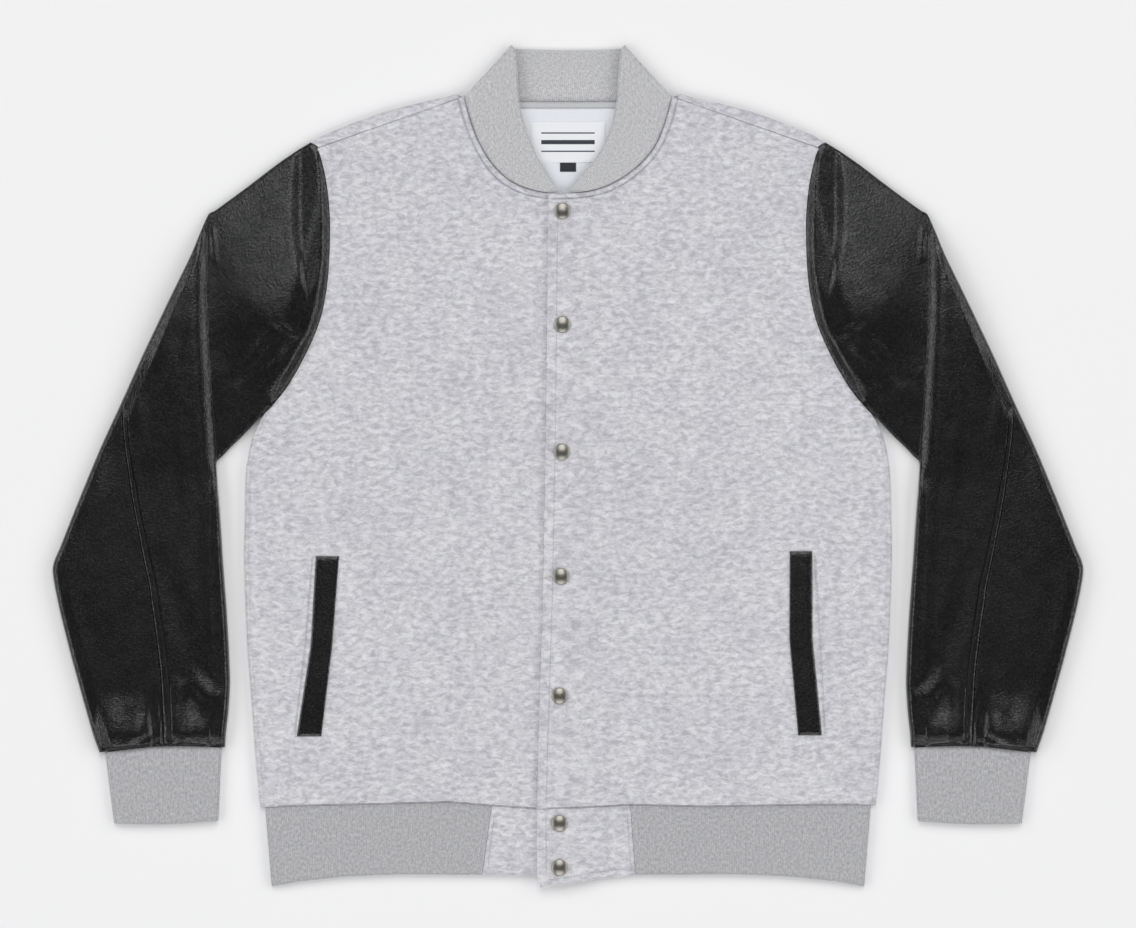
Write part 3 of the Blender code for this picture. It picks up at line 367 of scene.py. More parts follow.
def waist_y(x):
    return straight(WAIST_SEAM, x)


def lap_lift(x):
    return dip(x - LAP_FULL, LAP_LIFT, LAP_FADE)


def neck_lean(y):
    """How far the neck's front leans to one side at a height Y. Its back doesn't lean."""
    return NECK_LEAN * (1 - ease((y - NECK_LEAN_FROM) / (NECK_LEAN_TO - NECK_LEAN_FROM)))


def front_top(side, x, y):
    """Height of a front's face away from its edges."""
    from_armpit = np.hypot(np.abs(x) - ARMPIT_MIDDLE[0], y - ARMPIT_MIDDLE[1])
    height = BODY_HEIGHT + dip(from_armpit, ARMPIT_PUFF, ARMPIT_REACH)
    height = height + folds(side * x, y, FRONT_FOLDS[side])
    if side > 0:
        height = height + lap_lift(x)
        height = height - groove(x - lap_x(y) - LAP_STITCHING, 0.35, 1.3)
    return height


def front_panel(side):
    outer = np.concatenate([
        line_through(SIDE_SEAM, np.linspace(0, 1, 125)), line_through(ARMHOLE, np.linspace(1, 0.5, 40))[1:],
        line_through(ARMHOLE, np.linspace(0.5, SHOULDER_SHARE, 56))[1:]])
    lap_y = np.linspace(-309.0, NECK_EDGE[0][1], 164)
    edge = lap_x(lap_y) if side > 0 else np.full(164, UNDER_EDGE)
    neck = line_through(NECK_EDGE, np.linspace(0, 1, 56))[1:]
    inner = np.concatenate([
        points_of(edge, lap_y), points_of(side * neck[:, 0] + neck_lean(neck[:, 1]), neck[:, 1])])
    k = np.linspace(0, 1, 116)
    k = (k - 0.09 * np.sin(2 * math.pi * k))[None, :]
    x = mix(side * outer[:, :1], inner[:, :1], k)
    y = mix(outer[:, 1:], inner[:, 1:], k)
    y = y + dip(y - SIDE_SEAM[0][1], waist_y(x) + HALF_GAP - y[:1], 30.0)
    length = np.hypot(side * outer[:, :1] - inner[:, :1], outer[:, 1:] - inner[:, 1:])
    from_outer, from_inner = k * length, (1 - k) * length
    on_side = (1 - ease((np.arange(len(outer)) - 118) / 10.0))[:, None]
    z = front_top(side, x, y)
    round_side = np.sqrt(1 - (1 - np.clip(from_outer / SIDE_ROUND, 0, 1)) ** 2)
    z = mix(z - dip(from_outer, SEAM_DIP, 4.0), mix(SIDE_HEIGHT, z, round_side), on_side)
    z -= dip(y - waist_y(x), WAIST_DIP, WAIST_DIP_REACH) + dip(from_inner, 0.5, 2.2)
    z += groove(y - waist_y(x) - 9.0, 0.4, 6.0)
    z -= groove(from_outer - SIDE_SEAM_IN, 0.8, 0.8) * on_side
    slope = (SHOULDER_SEAM[1][1] - SHOULDER_SEAM[0][1]) / (SHOULDER_SEAM[1][0] - SHOULDER_SEAM[0][0])
    below_seam = SHOULDER_SEAM[0][1] + (np.abs(x) - SHOULDER_SEAM[0][0]) * slope - y
    z -= dip(below_seam, SEAM_DIP, 3.0) * ease((y - 200.0) / 60.0)
    suffix = SIDES[side]
    piece = cloth(f"front_panel_{suffix}_cloth", points_of(x, y, z), FLEECE_WALL, fleece, outward=side < 0)
    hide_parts(f"front_panel_{suffix}")
    return piece


front_left, front_right = front_panel(1), front_panel(-1)

# ---------------------------------------------------------------- sleeves
# Each sleeve is two pieces of black coated leather: a top one, and an under one that comes round on to the forearm
# below the elbow seam. The allowance at that seam is turned under and topstitched, so it stands up as a welt.
LEATHER_WALL = 1.3
SLEEVE_FOLD = 3.2  # radius of the folded edges
SLEEVE = np.array((  # sections: outer fold X, Y, inner fold X, Y, share of the armhole's bow, the seam's place
    (231.0, 290.8, 272.0, 47.5, 1.00, -0.200), (244.0, 283.0, 277.0, 43.5, 0.86, -0.190),
    (262.0, 270.6, 283.0, 36.6, 0.62, -0.180), (285.0, 253.0, 292.0, 27.0, 0.38, -0.170),
    (306.0, 237.5, 303.0, 16.5, 0.16, -0.160), (317.0, 229.6, 310.0, 9.0, 0.05, -0.150),
    (323.0, 226.0, 315.0, 4.5, 0.00, -0.150), (329.0, 213.0, 316.0, 0.0, 0.00, -0.150),
    (339.0, 189.0, 315.3, -9.0, 0.00, -0.140), (360.0, 146.0, 314.4, -22.0, 0.00, -0.100),
    (381.0, 102.0, 313.0, -38.0, 0.00, -0.017), (392.0, 77.5, 312.2, -49.5, 0.00, 0.000),
    (401.0, 57.4, 311.4, -61.0, 0.00, 0.017), (420.0, 16.2, 310.0, -84.0, 0.00, 0.240),
    (438.0, -27.0, 308.2, -108.0, 0.00, 0.410), (455.0, -70.0, 306.6, -130.0, 0.00, 0.530),
    (463.0, -92.0, 305.4, -150.0, 0.00, 0.570), (457.6, -125.0, 304.3, -172.0, 0.00, 0.577),
    (446.5, -170.0, 303.6, -196.0, 0.00, 0.568), (435.0, -212.0, 305.0, -220.0, 0.00, 0.550),
    (427.0, -240.0, 307.2, -240.0, 0.40, 0.535), (421.0, -257.2, 308.0, -252.4, 1.00, 0.515),
))
UNDERARM_SEAM = 0.15  # the second seam: this share in from the inner fold, underneath
CUFF_BOW = 3.6  # the cuff's seam rises this far in the middle
WELT_WIDTH, WELT_RISE = 7.2, 1.1  # the turned allowance beside the elbow seam
# The leather's relief. The upper arm is a facet that rises from its outer edge. It meets the hollow beside the
# armhole on one side, and falls below a crest on the other. The forearm rolls over it with a rim.
UPPER_EDGE = ((242.0, 284.0), (325.0, 224.0))
FACET_FOOT, FACET_SLOPE, FACET_TOP = 0.4, 0.12, 12.0
CREST_SLOPE, CREST_REACH = 0.07, 75.0
ARMHOLE_STEP, ARMHOLE_STEP_REACH, ARMHOLE_SLOPE = 3.2, 8.0, 0.27
FOREARM_FOLD = (  # the forearm lies over the upper arm on the outer side of this line
    (326.3, 221.5), (324.2, 203.4), (323.3, 183.6), (323.6, 158.4), (323.1, 131.4), (321.6, 104.4), (319.8, 72.9),
    (318.4, 45.9), (316.6, 23.4), (315.5, 3.6), (315.0, -21.6),
)
FOREARM_RIM = (  # Y, height
    (222, 3.0), (203, 6.4), (184, 8.6), (158, 10.2), (131, 10.8), (104, 10.6), (73, 10.0), (46, 9.2), (23, 8.2),
    (4, 7.0), (-22, 5.6),
)
FOREARM_LEVEL, FOREARM_REACH, FOREARM_ROLL = 5.6, 90.0, 22.0
UPPER_LOW = (  # Y, height of the upper arm below its crest
    (222, -0.6), (203, 1.0), (184, 2.6), (158, 4.0), (131, 4.8), (110, 4.6), (86, 4.8), (66, 4.0), (46, 2.4),
    (23, 1.2), (4, 0.2),
)
CREST = (
    (326.0, 221.0), (311.0, 205.0), (297.0, 187.0), (287.0, 168.0), (277.0, 150.0), (264.0, 135.0), (250.0, 124.0),
    (236.0, 112.0),
)
TROUGH = (
    (240.5, 288.0), (240.0, 262.0), (240.0, 222.0), (238.0, 194.0), (235.0, 167.0), (232.0, 149.0), (230.5, 136.0),
)
TROUGH_HALF_WIDTH = ((0, 7.6), (0.2, 9.0), (0.5, 9.4), (0.66, 8.0), (0.8, 6.6), (0.92, 4.6), (1, 2.0))
TROUGH_STEEP, TROUGH_GENTLE, TROUGH_DEPTH = 0.8, 2.2, 0.28  # its two sides' reach, and its depth, in half widths
SLEEVE_FOLDS = (
    (-0.9, 9, 9, ((266, 122), (284, 96), (302, 72))), (0.7, 8, 8, ((250, 106), (266, 90), (286, 70))),
    (1.9, 6, 14, ((238, 118), (248, 97), (258, 82), (270, 66))), (-0.9, 3, 5, ((266, 132), (252, 123), (240, 114))),
    (0.8, 4, 5, ((319, 216), (317.5, 200), (317, 182))),
    (0.7, 9, 12, ((322, 10), (321, -60), (317, -130), (314, -196))),
    (-0.7, 16, 16, ((366, -70), (350, -130), (332, -184))),
    (-0.5, 16, 14, ((424, -60), (436, -110), (428, -170))), (0.6, 9, 10, ((386, 66), (384, 44), (383, 18))),
    (4.4, 52, 5, ((426, -251), (402, -253), (372, -251))), (3.2, 46, 5, ((366, -251), (345, -252), (320, -251))),
    (-1.5, 9, 8, ((377, -196), (371, -224), (366, -254))), (1.0, 9, 10, ((347, -190), (350, -214), (352, -240))),
    (-0.9, 9, 10, ((340, -196), (334, -214), (330, -232))), (1.0, 9, 10, ((336, -190), (325, -203), (311, -213))),
    (-1.1, 9, 10, ((332, -172), (321, -188), (309, -202))), (-0.8, 4, 4, ((368, -238), (382, -246), (394, -252))),
    (-0.8, 4, 4, ((362, -240), (350, -248), (336, -252))), (-0.8, 7, 8, ((402, -256), (398, -238), (392, -216))),
    (0.7, 8, 8, ((386, -256), (384, -240), (382, -222))), (0.6, 7, 8, ((343, -254), (340, -240), (336, -222))),
    (0.5, 12, 14, ((420, 8), (424, -20), (434, -50))), (-0.5, 10, 12, ((398, 30), (408, 0), (420, -28))),
    (0.6, 10, 10, ((352, 150), (362, 118), (372, 86))), (-0.5, 9, 10, ((338, 158), (346, 120), (352, 84))),
    (-0.6, 10, 10, ((398, -180), (402, -205), (404, -228))), (0.5, 10, 10, ((346, 40), (344, 0), (340, -44))),
)


def least(a, b, round_off):
    """The lower of two surfaces, with the line where they meet rounded off."""
    k = np.clip(0.5 + 0.5 * (b - a) / round_off, 0.0, 1.0)
    return mix(b, a, k) - round_off * k * (1 - k)


def upper_facet(x, y):
    (x0, y0), (x1, y1) = UPPER_EDGE
    from_edge = ((x - x0) * (y1 - y0) - (y - y0) * (x1 - x0)) / math.hypot(x1 - x0, y1 - y0)
    return FACET_FOOT + least(FACET_SLOPE * from_edge, FACET_TOP, 2.0)


def upper_arm(x, y):
    below, along = beside(x, y, CREST)
    crest = upper_facet(*np.moveaxis(line_through(CREST, along), -1, 0))
    low = mix(crest - CREST_SLOPE * below, straight(UPPER_LOW, y), ease(below / CREST_REACH))
    height = least(upper_facet(x, y), low, 1.4)
    from_armhole = np.maximum(beside(x, y, ARMHOLE)[0], 0.0)
    step = 0.6 + ARMHOLE_STEP * ease(from_armhole / ARMHOLE_STEP_REACH) + ARMHOLE_SLOPE * from_armhole
    height = least(height, step + 20.0 * ease((60.0 - y) / 20.0), 1.6)
    off, down = beside(x, y, TROUGH)
    ends = np.maximum(ease((1.0 - down) / 0.35) * mix(0.7, 1.0, ease(down / 0.3)), 0.05)
    reach = (straight(TROUGH_HALF_WIDTH, down) + 1.5) * ends
    wall = 1.0 - np.where(off > 0, off / (TROUGH_STEEP * reach), -off / (TROUGH_GENTLE * reach))
    wall = 0.5 * (wall + np.sqrt(wall * wall + 0.01)) - 0.02
    return height - TROUGH_DEPTH * reach * wall


def leather_rise(x, y):
    """How far the leather on top of a sleeve stands above its folded edges."""
    past, _ = beside(x, y, FOREARM_FOLD)
    roll = FOREARM_ROLL - np.sqrt(FOREARM_ROLL**2 - np.clip(15.0 - past, 0.0, 15.5) ** 2)
    forearm = mix(straight(FOREARM_RIM, y), FOREARM_LEVEL, ease((past - 8.0) / FOREARM_REACH)) - roll
    below_elbow = ease((8.0 - y) / 34.0)
    return mix(mix(upper_arm(x, y), forearm, ease((past + 0.8) / 1.6)), FOREARM_LEVEL, below_elbow)


def sections(t):
    """The table's columns at places t down the sleeve, on smooth lines."""
    i = np.clip(np.floor(t).astype(int), 0, len(SLEEVE) - 2)
    k = (t - i)[:, None]
    low, high = SLEEVE[i], SLEEVE[i + 1]
    before, after = SLEEVE[np.clip(i - 1, 0, None)], SLEEVE[np.clip(i + 2, None, len(SLEEVE) - 1)]
    bend = (2 * before - 5 * low + 4 * high - after) * k**2 + (3 * low - before - 3 * high + after) * k**3
    curved = 0.5 * (2 * low + (high - before) * k + bend)
    return mix(low + (high - low) * k, curved, 0.7).T[:, :, None]


def sleeve_points(side, t, places, welt):
    """Outer face of a sleeve at places t down it. A place across it is 0 at the outer fold and 1 at the inner fold
    on top, and goes on below 0 and above 1 underneath. welt is the height of the welt beside the seam."""
    outer_x, outer_y, inner_x, inner_y, bow, seam = sections(t)
    length = np.hypot(inner_x - outer_x, inner_y - outer_y)
    above = (places >= 0) & (places <= 1)
    k = np.where(places <= 1, np.abs(places), 2 - places)
    inset = np.where(k > 0.5, 1 - k, k) * length
    turned = np.clip(inset / SLEEVE_FOLD, 0, 1)
    angle = (1 - turned) * math.pi / 2
    true_inset = np.where(inset < SLEEVE_FOLD, SLEEVE_FOLD * (1 - np.sin(angle)), inset)
    shift = (true_inset - inset) / length
    k = np.where(k > 0.5, k - shift, k + shift)
    hole = line_through(ARMHOLE, k)
    flat = np.stack([mix(ARMHOLE[0][0], ARMHOLE[-1][0], k), mix(ARMHOLE[0][1], ARMHOLE[-1][1], k)], axis=-1)
    near_cuff = (t > 12)[:, None]
    bow_x = np.where(near_cuff, 0.0, bow * (hole - flat)[..., 0])
    bow_y = np.where(near_cuff, bow * CUFF_BOW * np.sin(math.pi * k), bow * (hole - flat)[..., 1])
    x, y = mix(outer_x, inner_x, k) + bow_x, mix(outer_y, inner_y, k) + bow_y
    x, y = x + SEAM_GAP * (t < 0.01)[:, None], y + HALF_GAP * (t < 0.01)[:, None]
    relief = folds(x, y, SLEEVE_FOLDS) * ease((21.0 - t) / 0.3)[:, None]
    at_cuff = (2.4 * ease((t - 19.9) / 1.1))[:, None]
    raised = np.maximum(leather_rise(x, y) - at_cuff + relief, -SLEEVE_FOLD)
    raised = raised * np.interp(inset, (0.0, 2.8, 4.4, 15.0), (0.0, 0.68, 0.78, 1.0))
    seen = seam > 0.03
    from_seam = (places - seam) * length
    raised += welt * np.where(seen, ease((from_seam + 0.1) / 0.7) * dip(from_seam - 6.0, 1.0, 0.9), 0.0)
    raised -= np.where(seen, groove(from_seam, 0.5, 0.9) + groove(from_seam - WELT_WIDTH, 0.35, 0.6), 0.0)
    curve = SLEEVE_FOLD + np.where(above, 1.0, -1.0) * SLEEVE_FOLD * np.cos(angle)
    z = np.where(inset < SLEEVE_FOLD, curve, np.where(above, 2 * SLEEVE_FOLD, 0.0)) + np.where(above, raised, 0.0)
    return points_of(side * x, y, z)


def spread(start, end, count):
    """Places from start to end, one column for each."""
    return mix(start, end, np.linspace(0, 1, count)[None, :])


def sleeve(side):
    """Makes a sleeve's two pieces, and returns the top one."""
    suffix = SIDES[side]
    t = runs((0, 5, 7, 21), (61, 29, 165))  # closest together where the forearm folds over the upper arm
    table = sections(t)
    length = np.hypot(table[2] - table[0], table[3] - table[1])
    seam, fold = table[5], SLEEVE_FOLD / length
    start = np.maximum(seam, fold)
    beside_seam = start + np.array([[0.0, 0.4, 0.8, 2.0, 3.5, 5.0, 6.0, 6.5, 7.0, 7.6, 8.4]]) / length
    places = np.concatenate([
        spread(np.minimum(seam, -fold), -fold, 10), spread(-fold, fold, 9)[:, 1:], beside_seam,
        spread(beside_seam[:, -1:], 1 - fold, 92)[:, 1:], spread(1 - fold, 1 + fold, 9)[:, 1:],
        spread(1 + fold, 1 + UNDERARM_SEAM + 0 * fold, 10)[:, 1:]], axis=1)
    top = sleeve_points(side, t, np.maximum(places, seam), WELT_RISE)
    piece = cloth(f"top_sleeve_{suffix}_leather", top, LEATHER_WALL, leather, outward=side > 0)
    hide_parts(f"top_sleeve_{suffix}")
    end = seam - SEAM_GAP / length
    before_end = end - 3.0 / length
    places = np.concatenate([
        spread(-0.848 + 0 * fold, -fold, 22), spread(-fold, fold, 9)[:, 1:],  # from the underarm seam
        np.maximum(spread(fold, before_end, 46), 0 * fold)[:, 1:],
        end - np.array([[2.2, 1.5, 1.0, 0.6, 0.3, 0.0]]) / length], axis=1)
    places = np.minimum(np.maximum.accumulate(places, axis=1), end)
    under = sleeve_points(side, t, places, 0.0)
    below = cloth(f"under_sleeve_{suffix}_leather", under, LEATHER_WALL, leather, outward=side > 0)
    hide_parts(f"under_sleeve_{suffix}")
    return piece


# Coated leather: split hide under a black polyurethane skin that is embossed with a pebble grain. It is nearly
# black, with a broad soft shine on what leans to the light, fine grain and small creases. The grain's own cells are
# under a millimetre across. They are drawn 2.2 mm across here, so that they show: their rounded tops shine, and the
# fine creases between them are dull.
leather = new_material("black_coated_leather")
place = add(leather, "TexCoord")
pebbles = add(leather, "TexVoronoi", {"Vector": (place, "Object"), "Scale": 700.0})
wander = add(leather, "TexNoise", {
    "Vector": (place, "Object"), "Scale": 60.0, "Detail": 5.0, "Roughness": 0.6})
worn = add(leather, "TexNoise", {"Vector": (place, "Object"), "Scale": 14.0, "Detail": 3.0})
tone = share_of(leather, worn, 0.3, 0.7)
black = blend(leather, (tone, 0), linear("#0a0a0a"), linear("#101011"))
grain = bump(leather, (pebbles, "Distance"), 0.3, 0.0005)
creases = bump(leather, (wander, "Fac"), 0.2, 0.0012, Normal=(grain, "Normal"))
cells = add(leather, "TexVoronoi", {"Vector": (place, "Object"), "Scale": 450.0})
shine = add(leather, "Math", {0: (cells, "Distance"), 1: (wander, "Fac")}, operation="ADD")
polished = add(leather, "MapRange", {
    "Value": (shine, 0), "From Min": 0.6, "From Max": 1.25, "To Min": 0.84, "To Max": 0.4})
finish_of(
    leather, Base_Color=(black, 2), Normal=(creases, 0), Roughness=0.24, IOR=1.5, Specular_IOR_Level=(polished, 0))
top_sleeve_left, top_sleeve_right = sleeve(1), sleeve(-1)

# ---------------------------------------------------------------- cuffs
# A strip of rib knit, folded double at the wrist and sewn into a ring, and then sewn to the sleeve's end.
RIB_WALL = 2.2
RIB_FOLD = 3.6  # radius of the folded edges
RIB_DIP = 1.7  # how far rib is drawn down into a seam
CUFF_TOP = ((415.6, -257.4), (311.0, -252.9))
CUFF_END = ((407.6, -321.0), (314.2, -318.8))
CUFF_SAG, CUFF_CROWN = 1.6, 0.9
CUFF_FOLDS = (
    (0.7, 8, 8, ((372, -250), (370, -290), (374, -324))), (-0.6, 7, 7, ((350, -250), (348, -284), (352, -310))),
    (0.5, 8, 8, ((330, -262), (332, -318))), (-0.5, 6, 8, ((396, -250), (394, -280))),
)
# Rib knit: columns of raised stitches, 1.6 mm apart, in the same marl yarn. They give fine upright lines, with
# painted shade in the grooves between them.
rib = new_material("grey_rib_knit")
place = add(rib, "TexCoord")
columns = add(rib, "Mapping", {"Vector": (place, "UV"), "Scale": (625, 625, 1)})
ribs = add(rib, "TexWave", {
    "Vector": (columns, "Vector"), "Scale": 0.314, "Distortion": 0.6, "Detail": 1.0, "Detail Scale": 1.2})
flecks = add(rib, "Mapping", {"Vector": (place, "UV"), "Scale": (420, 330, 1)})
fleck = add(rib, "TexNoise", {"Vector": (flecks, "Vector"), "Scale": 1.0, "Detail": 6.0, "Roughness": 0.7})
fleck_share = share_of(rib, fleck, 0.37, 0.63)
yarn = blend(rib, (fleck_share, 0), linear("#a2a2a6"), linear("#cbcbce"))
# Painted shade: the yarn is darkened where the ribs' bump is low, in the grooves between them.
groove_painted_shade = add(rib, "MapRange", {"Value": (ribs, "Fac"), "To Min": 0.34, "To Max": 0.0})
ribs_with_painted_shade = blend(rib, (groove_painted_shade, 0), (yarn, 2), linear("#8f8f94"))
rib_bump = bump(rib, (ribs, "Fac"), 0.5, 0.0005)
finish_of(rib, Base_Color=(ribs_with_painted_shade, 2), Normal=(rib_bump, 0), Roughness=0.95, Sheen_Weight=0.1, Sheen_Roughness=0.6)


def folded(inset, radius, top, above):
    """True inset and height of the outer face of cloth that turns back on itself, by the way in from the fold."""
    angle = (1 - np.clip(inset / radius, 0, 1)) * math.pi / 2
    curve = radius + np.where(above, 1.0, -1.0) * radius * np.cos(angle)
    flat = np.where(above, top, 0.0)
    return np.where(inset < radius, radius * (1 - np.sin(angle)), inset), np.where(inset < radius, curve, flat)


def cuff(side):
    suffix = SIDES[side]
    width = math.dist(*CUFF_TOP)
    around = runs((-0.5, -0.035, 0.035, 0.965, 1.035, 1.5), (14, 13, 44, 13, 14))[None, :]
    v = runs((0, 0.06, 0.94, 1), (4, 22, 6))[:, None]
    above = (around >= 0) & (around <= 1)
    k = np.where(around <= 1, np.abs(around), 2 - around)
    ends = [[mix(a, b, v) for a, b in zip(top, end)] for top, end in zip(CUFF_TOP, CUFF_END)]
    length = np.hypot(ends[0][0] - ends[1][0], ends[0][1] - ends[1][1])
    inset = np.where(k > 0.5, 1 - k, k) * length
    edge = dip(v, RIB_DIP, 0.05) + 1.5 * dip(1 - v, 1, 0.05) ** 2
    swell = folds(mix(ends[0][0], ends[1][0], k), mix(ends[0][1], ends[1][1], k), CUFF_FOLDS)
    crown = 2 * RIB_FOLD + (CUFF_CROWN + swell - edge) * ease((inset - RIB_FOLD) / 14.0)
    inset, z = folded(inset, RIB_FOLD, crown, above)
    k = np.where(k > 0.5, 1 - inset / length, inset / length)
    bow = np.sin(math.pi * k) * mix(dip(v, CUFF_BOW, 0.5), -CUFF_SAG, ease(v))
    x, y = mix(ends[0][0], ends[1][0], k), mix(ends[0][1], ends[1][1], k) + bow
    uv = points_of(around * width, v * 65.0)
    piece = cloth(f"cuff_{suffix}_rib", points_of(side * x, y, z), RIB_WALL, rib, outward=side > 0, uv=uv)
    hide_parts(f"cuff_{suffix}")


cuff(1)
cuff(-1)

# ---------------------------------------------------------------- waistband
# One strip of the same rib knit, folded double at the hem, runs round the back from tab to tab. The tabs are
# fleece, stiffened inside, and carry the two lowest snaps.
HEM_HEIGHT = 8.0
BAND_TOP_HALF, BAND_HEM_HALF = 272.0, 266.0
TAB_SEAM = {-1: (-68.5, -77.0), 1: (56.0, 60.5)}
HEM = ((0.0, -368.0), (60.0, -367.0), (150.0, -366.4), (196.0, -368.2), (241.0, -372.8), (266.0, -377.6))
LAP_HEM = ((-25.0, -378.0), (-7.0, -376.2), (20.0, -371.5), (60.5, -367.0))
LAP_FOOT_ROUND = 3.0
BAND_FOLDS = (
    (0.7, 9, 9, ((-236, -300), (-232, -340), (-236, -380))), (-0.7, 8, 9, ((-206, -298), (-210, -330), (-206, -356))),
    (0.6, 8, 10, ((-176, -300), (-172, -340), (-176, -376))), (-0.6, 8, 8, ((-140, -298), (-144, -345))),
    (0.6, 8, 8, ((-104, -300), (-108, -360))), (0.7, 9, 8, ((96, -300), (100, -345), (98, -380))),
    (-0.6, 9, 8, ((128, -298), (126, -340))), (0.6, 10, 9, ((160, -300), (164, -372))),
    (-0.7, 8, 9, ((196, -298), (192, -346))), (0.7, 9, 9, ((228, -298), (232, -376))),
    (-0.5, 8, 8, ((252, -300), (254, -340))),
)


def hem_y(x):
    return straight(HEM, np.abs(x))


def along_the_cloth(grid):
    """Distances in mm along a strip and across it, for patterns that follow the knitting."""
    rows, columns = grid.shape[:2]
    along = np.concatenate([[0.0], np.cumsum(np.linalg.norm(np.diff(grid[rows // 2], axis=0), axis=1))])
    across = np.concatenate([[0.0], np.cumsum(np.linalg.norm(np.diff(grid[:, columns // 3], axis=0), axis=1))])
    return points_of(along[None, :], across[:, None])


def round_fold(count, radius, edge):
    """A strip's folded end, from its top round to its underside: the way round, the distance in and the height."""
    n = np.linspace(-1, 1, count)[None, 1:]
    angle = (1 - np.abs(n)) * math.pi / 2
    return n, radius * (1 - np.sin(angle)), radius - np.sign(n) * radius * np.cos(angle) - edge * ease(-n)


def ring(parts, beneath):
    """One grid that runs round from the right half's front, beneath, to the left half's front."""
    (front_right, fold_right), (front_left, fold_left) = parts
    return np.concatenate([front_right, fold_right, beneath, fold_left[:, ::-1], front_left[:, ::-1]], axis=1)


v = runs((0, 0.05, 0.95, 1), (4, 24, 6))[:, None]
half = mix(BAND_TOP_HALF, BAND_HEM_HALF, v)
band_edge = dip(v, RIB_DIP, 0.05) + 1.6 * dip(1 - v, 1, 0.05) ** 2
parts = []
for side in (-1, 1):
    f = np.linspace(0, 1, 84)[None, :]
    band_x = side * (half - RIB_FOLD)
    x = mix(mix(TAB_SEAM[side][0], TAB_SEAM[side][1], v) + side * HALF_GAP, band_x, f)
    top_y = waist_y(mix(TAB_SEAM[side][0], side * (BAND_TOP_HALF - RIB_FOLD), f)) - HALF_GAP
    y = mix(top_y, hem_y(x), v)
    z = mix(2 * RIB_FOLD, HEM_HEIGHT, ease((half - np.abs(x) - RIB_FOLD) / 22.0)) - band_edge
    z -= groove(f * 190, 0.5, 2.0)  # the seam of the tab
    z += folds(x, y, BAND_FOLDS) * ease((half - np.abs(x) - RIB_FOLD) / 12.0)
    front = points_of(x, y, z)
    n, inset, z = round_fold(13, RIB_FOLD, band_edge)
    x = side * (half - inset)
    y = mix(mix(waist_y(x) - HALF_GAP, BACK_WAIST_Y - HALF_GAP, ease((n + 1) / 2)), hem_y(x), v)
    parts.append((front, points_of(x, y, z)))
x = np.linspace(-1, 1, 110)[None, 1:-1] * (half - RIB_FOLD)
grid = ring(parts, points_of(x, mix(BACK_WAIST_Y - HALF_GAP, hem_y(x), v), dip(v, RIB_DIP, 0.05)))
waistband = cloth("waistband_rib_knit", grid, RIB_WALL, rib, outward=True, uv=along_the_cloth(grid))
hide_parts("waistband_rib")


def waist_tab(side):
    suffix = SIDES[side]
    end = lap_x(LAP_EDGE[0][1]) if side > 0 else UNDER_EDGE
    k = np.linspace(0, 1, 40)[None, :]
    w = runs((0, 0.05, 0.95, 1), (4, 22, 5))[:, None]
    foot_end = end + LAP_FOOT_ROUND * ease((w - 0.8) / 0.2) * (side > 0)
    x = mix(mix(TAB_SEAM[side][0], end, k), mix(TAB_SEAM[side][1], foot_end, k), w) - side * HALF_GAP * (k == 0)
    foot_y = straight(LAP_HEM, x) if side > 0 else hem_y(x)
    y = mix(waist_y(x) - HALF_GAP, foot_y, w)
    z = HEM_HEIGHT + lap_lift(x) * (side > 0) - dip(w, WAIST_DIP, 0.05) - 1.4 * dip(1 - w, 1, 0.05) ** 2
    z -= dip(k * 90, 0.7, 2.4) + dip((1 - k) * 85, 0.9, 2.4) * (side > 0)
    z += groove(w - 0.5, 0.35, 0.25)  # its stiffener
    piece = cloth(f"waist_tab_{suffix}_cloth", points_of(x, y, z), FLEECE_WALL, fleece, outward=side > 0)
    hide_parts(f"waist_tab_{suffix}")
    return piece


tab_left, tab_right = waist_tab(1), waist_tab(-1)

# ---------------------------------------------------------------- collar
# One strip of rib knit, folded double along its top edge and tapered to its front ends. The narrow band between it
# and the body is the bulky seam allowance, turned down and topstitched.
COLLAR_FOLD = 4.6  # radius of the folded ends
COLLAR_START, UNDER_BINDING_START = 0.14, 0.12  # shares of the seam, where they come out from under the lap
TRIM_WALL = 1.2
COLLAR_SEAM = (
    (-13.0, 244.6), (13.0, 245.0), (28.0, 247.5), (41.0, 252.0), (53.0, 259.0), (63.5, 267.8), (73.0, 279.0),
    (80.8, 292.0), (86.0, 305.0), (90.0, 318.0), (93.5, 331.5),
)
COLLAR_EDGE = (
    (5.8, 247.0), (15.0, 261.0), (26.8, 277.5), (37.0, 300.0), (42.5, 320.0), (45.5, 338.0), (47.6, 356.0),
    (51.0, 378.0),
)
COLLAR_TOP_DIP = 4.4  # the back edge, in the middle
COLLAR_FOLDS = (
    (-0.8, 10, 10, ((-46, 268), (-52, 290), (-50, 320))), (0.7, 12, 10, ((-66, 276), (-74, 304), (-72, 340))),
    (-0.7, 10, 10, ((40, 262), (52, 284), (50, 312))), (0.7, 10, 12, ((60, 272), (66, 300), (64, 336))),
    (0.5, 8, 8, ((-28, 254), (-36, 272))), (0.5, 8, 8, ((24, 252), (32, 268))),
)
foot_end, top_end = COLLAR_SEAM[-1], COLLAR_EDGE[-1]
slant = math.dist(foot_end, top_end)
inward = ((foot_end[1] - top_end[1]) / slant, (top_end[0] - foot_end[0]) / slant)
v = runs((0, 0.05, 0.94, 1), (4, 28, 7))[:, None]
collar_edge = dip(v, RIB_DIP, 0.05) + 2.0 * dip(1 - v, 1, 0.06) ** 2
parts = []
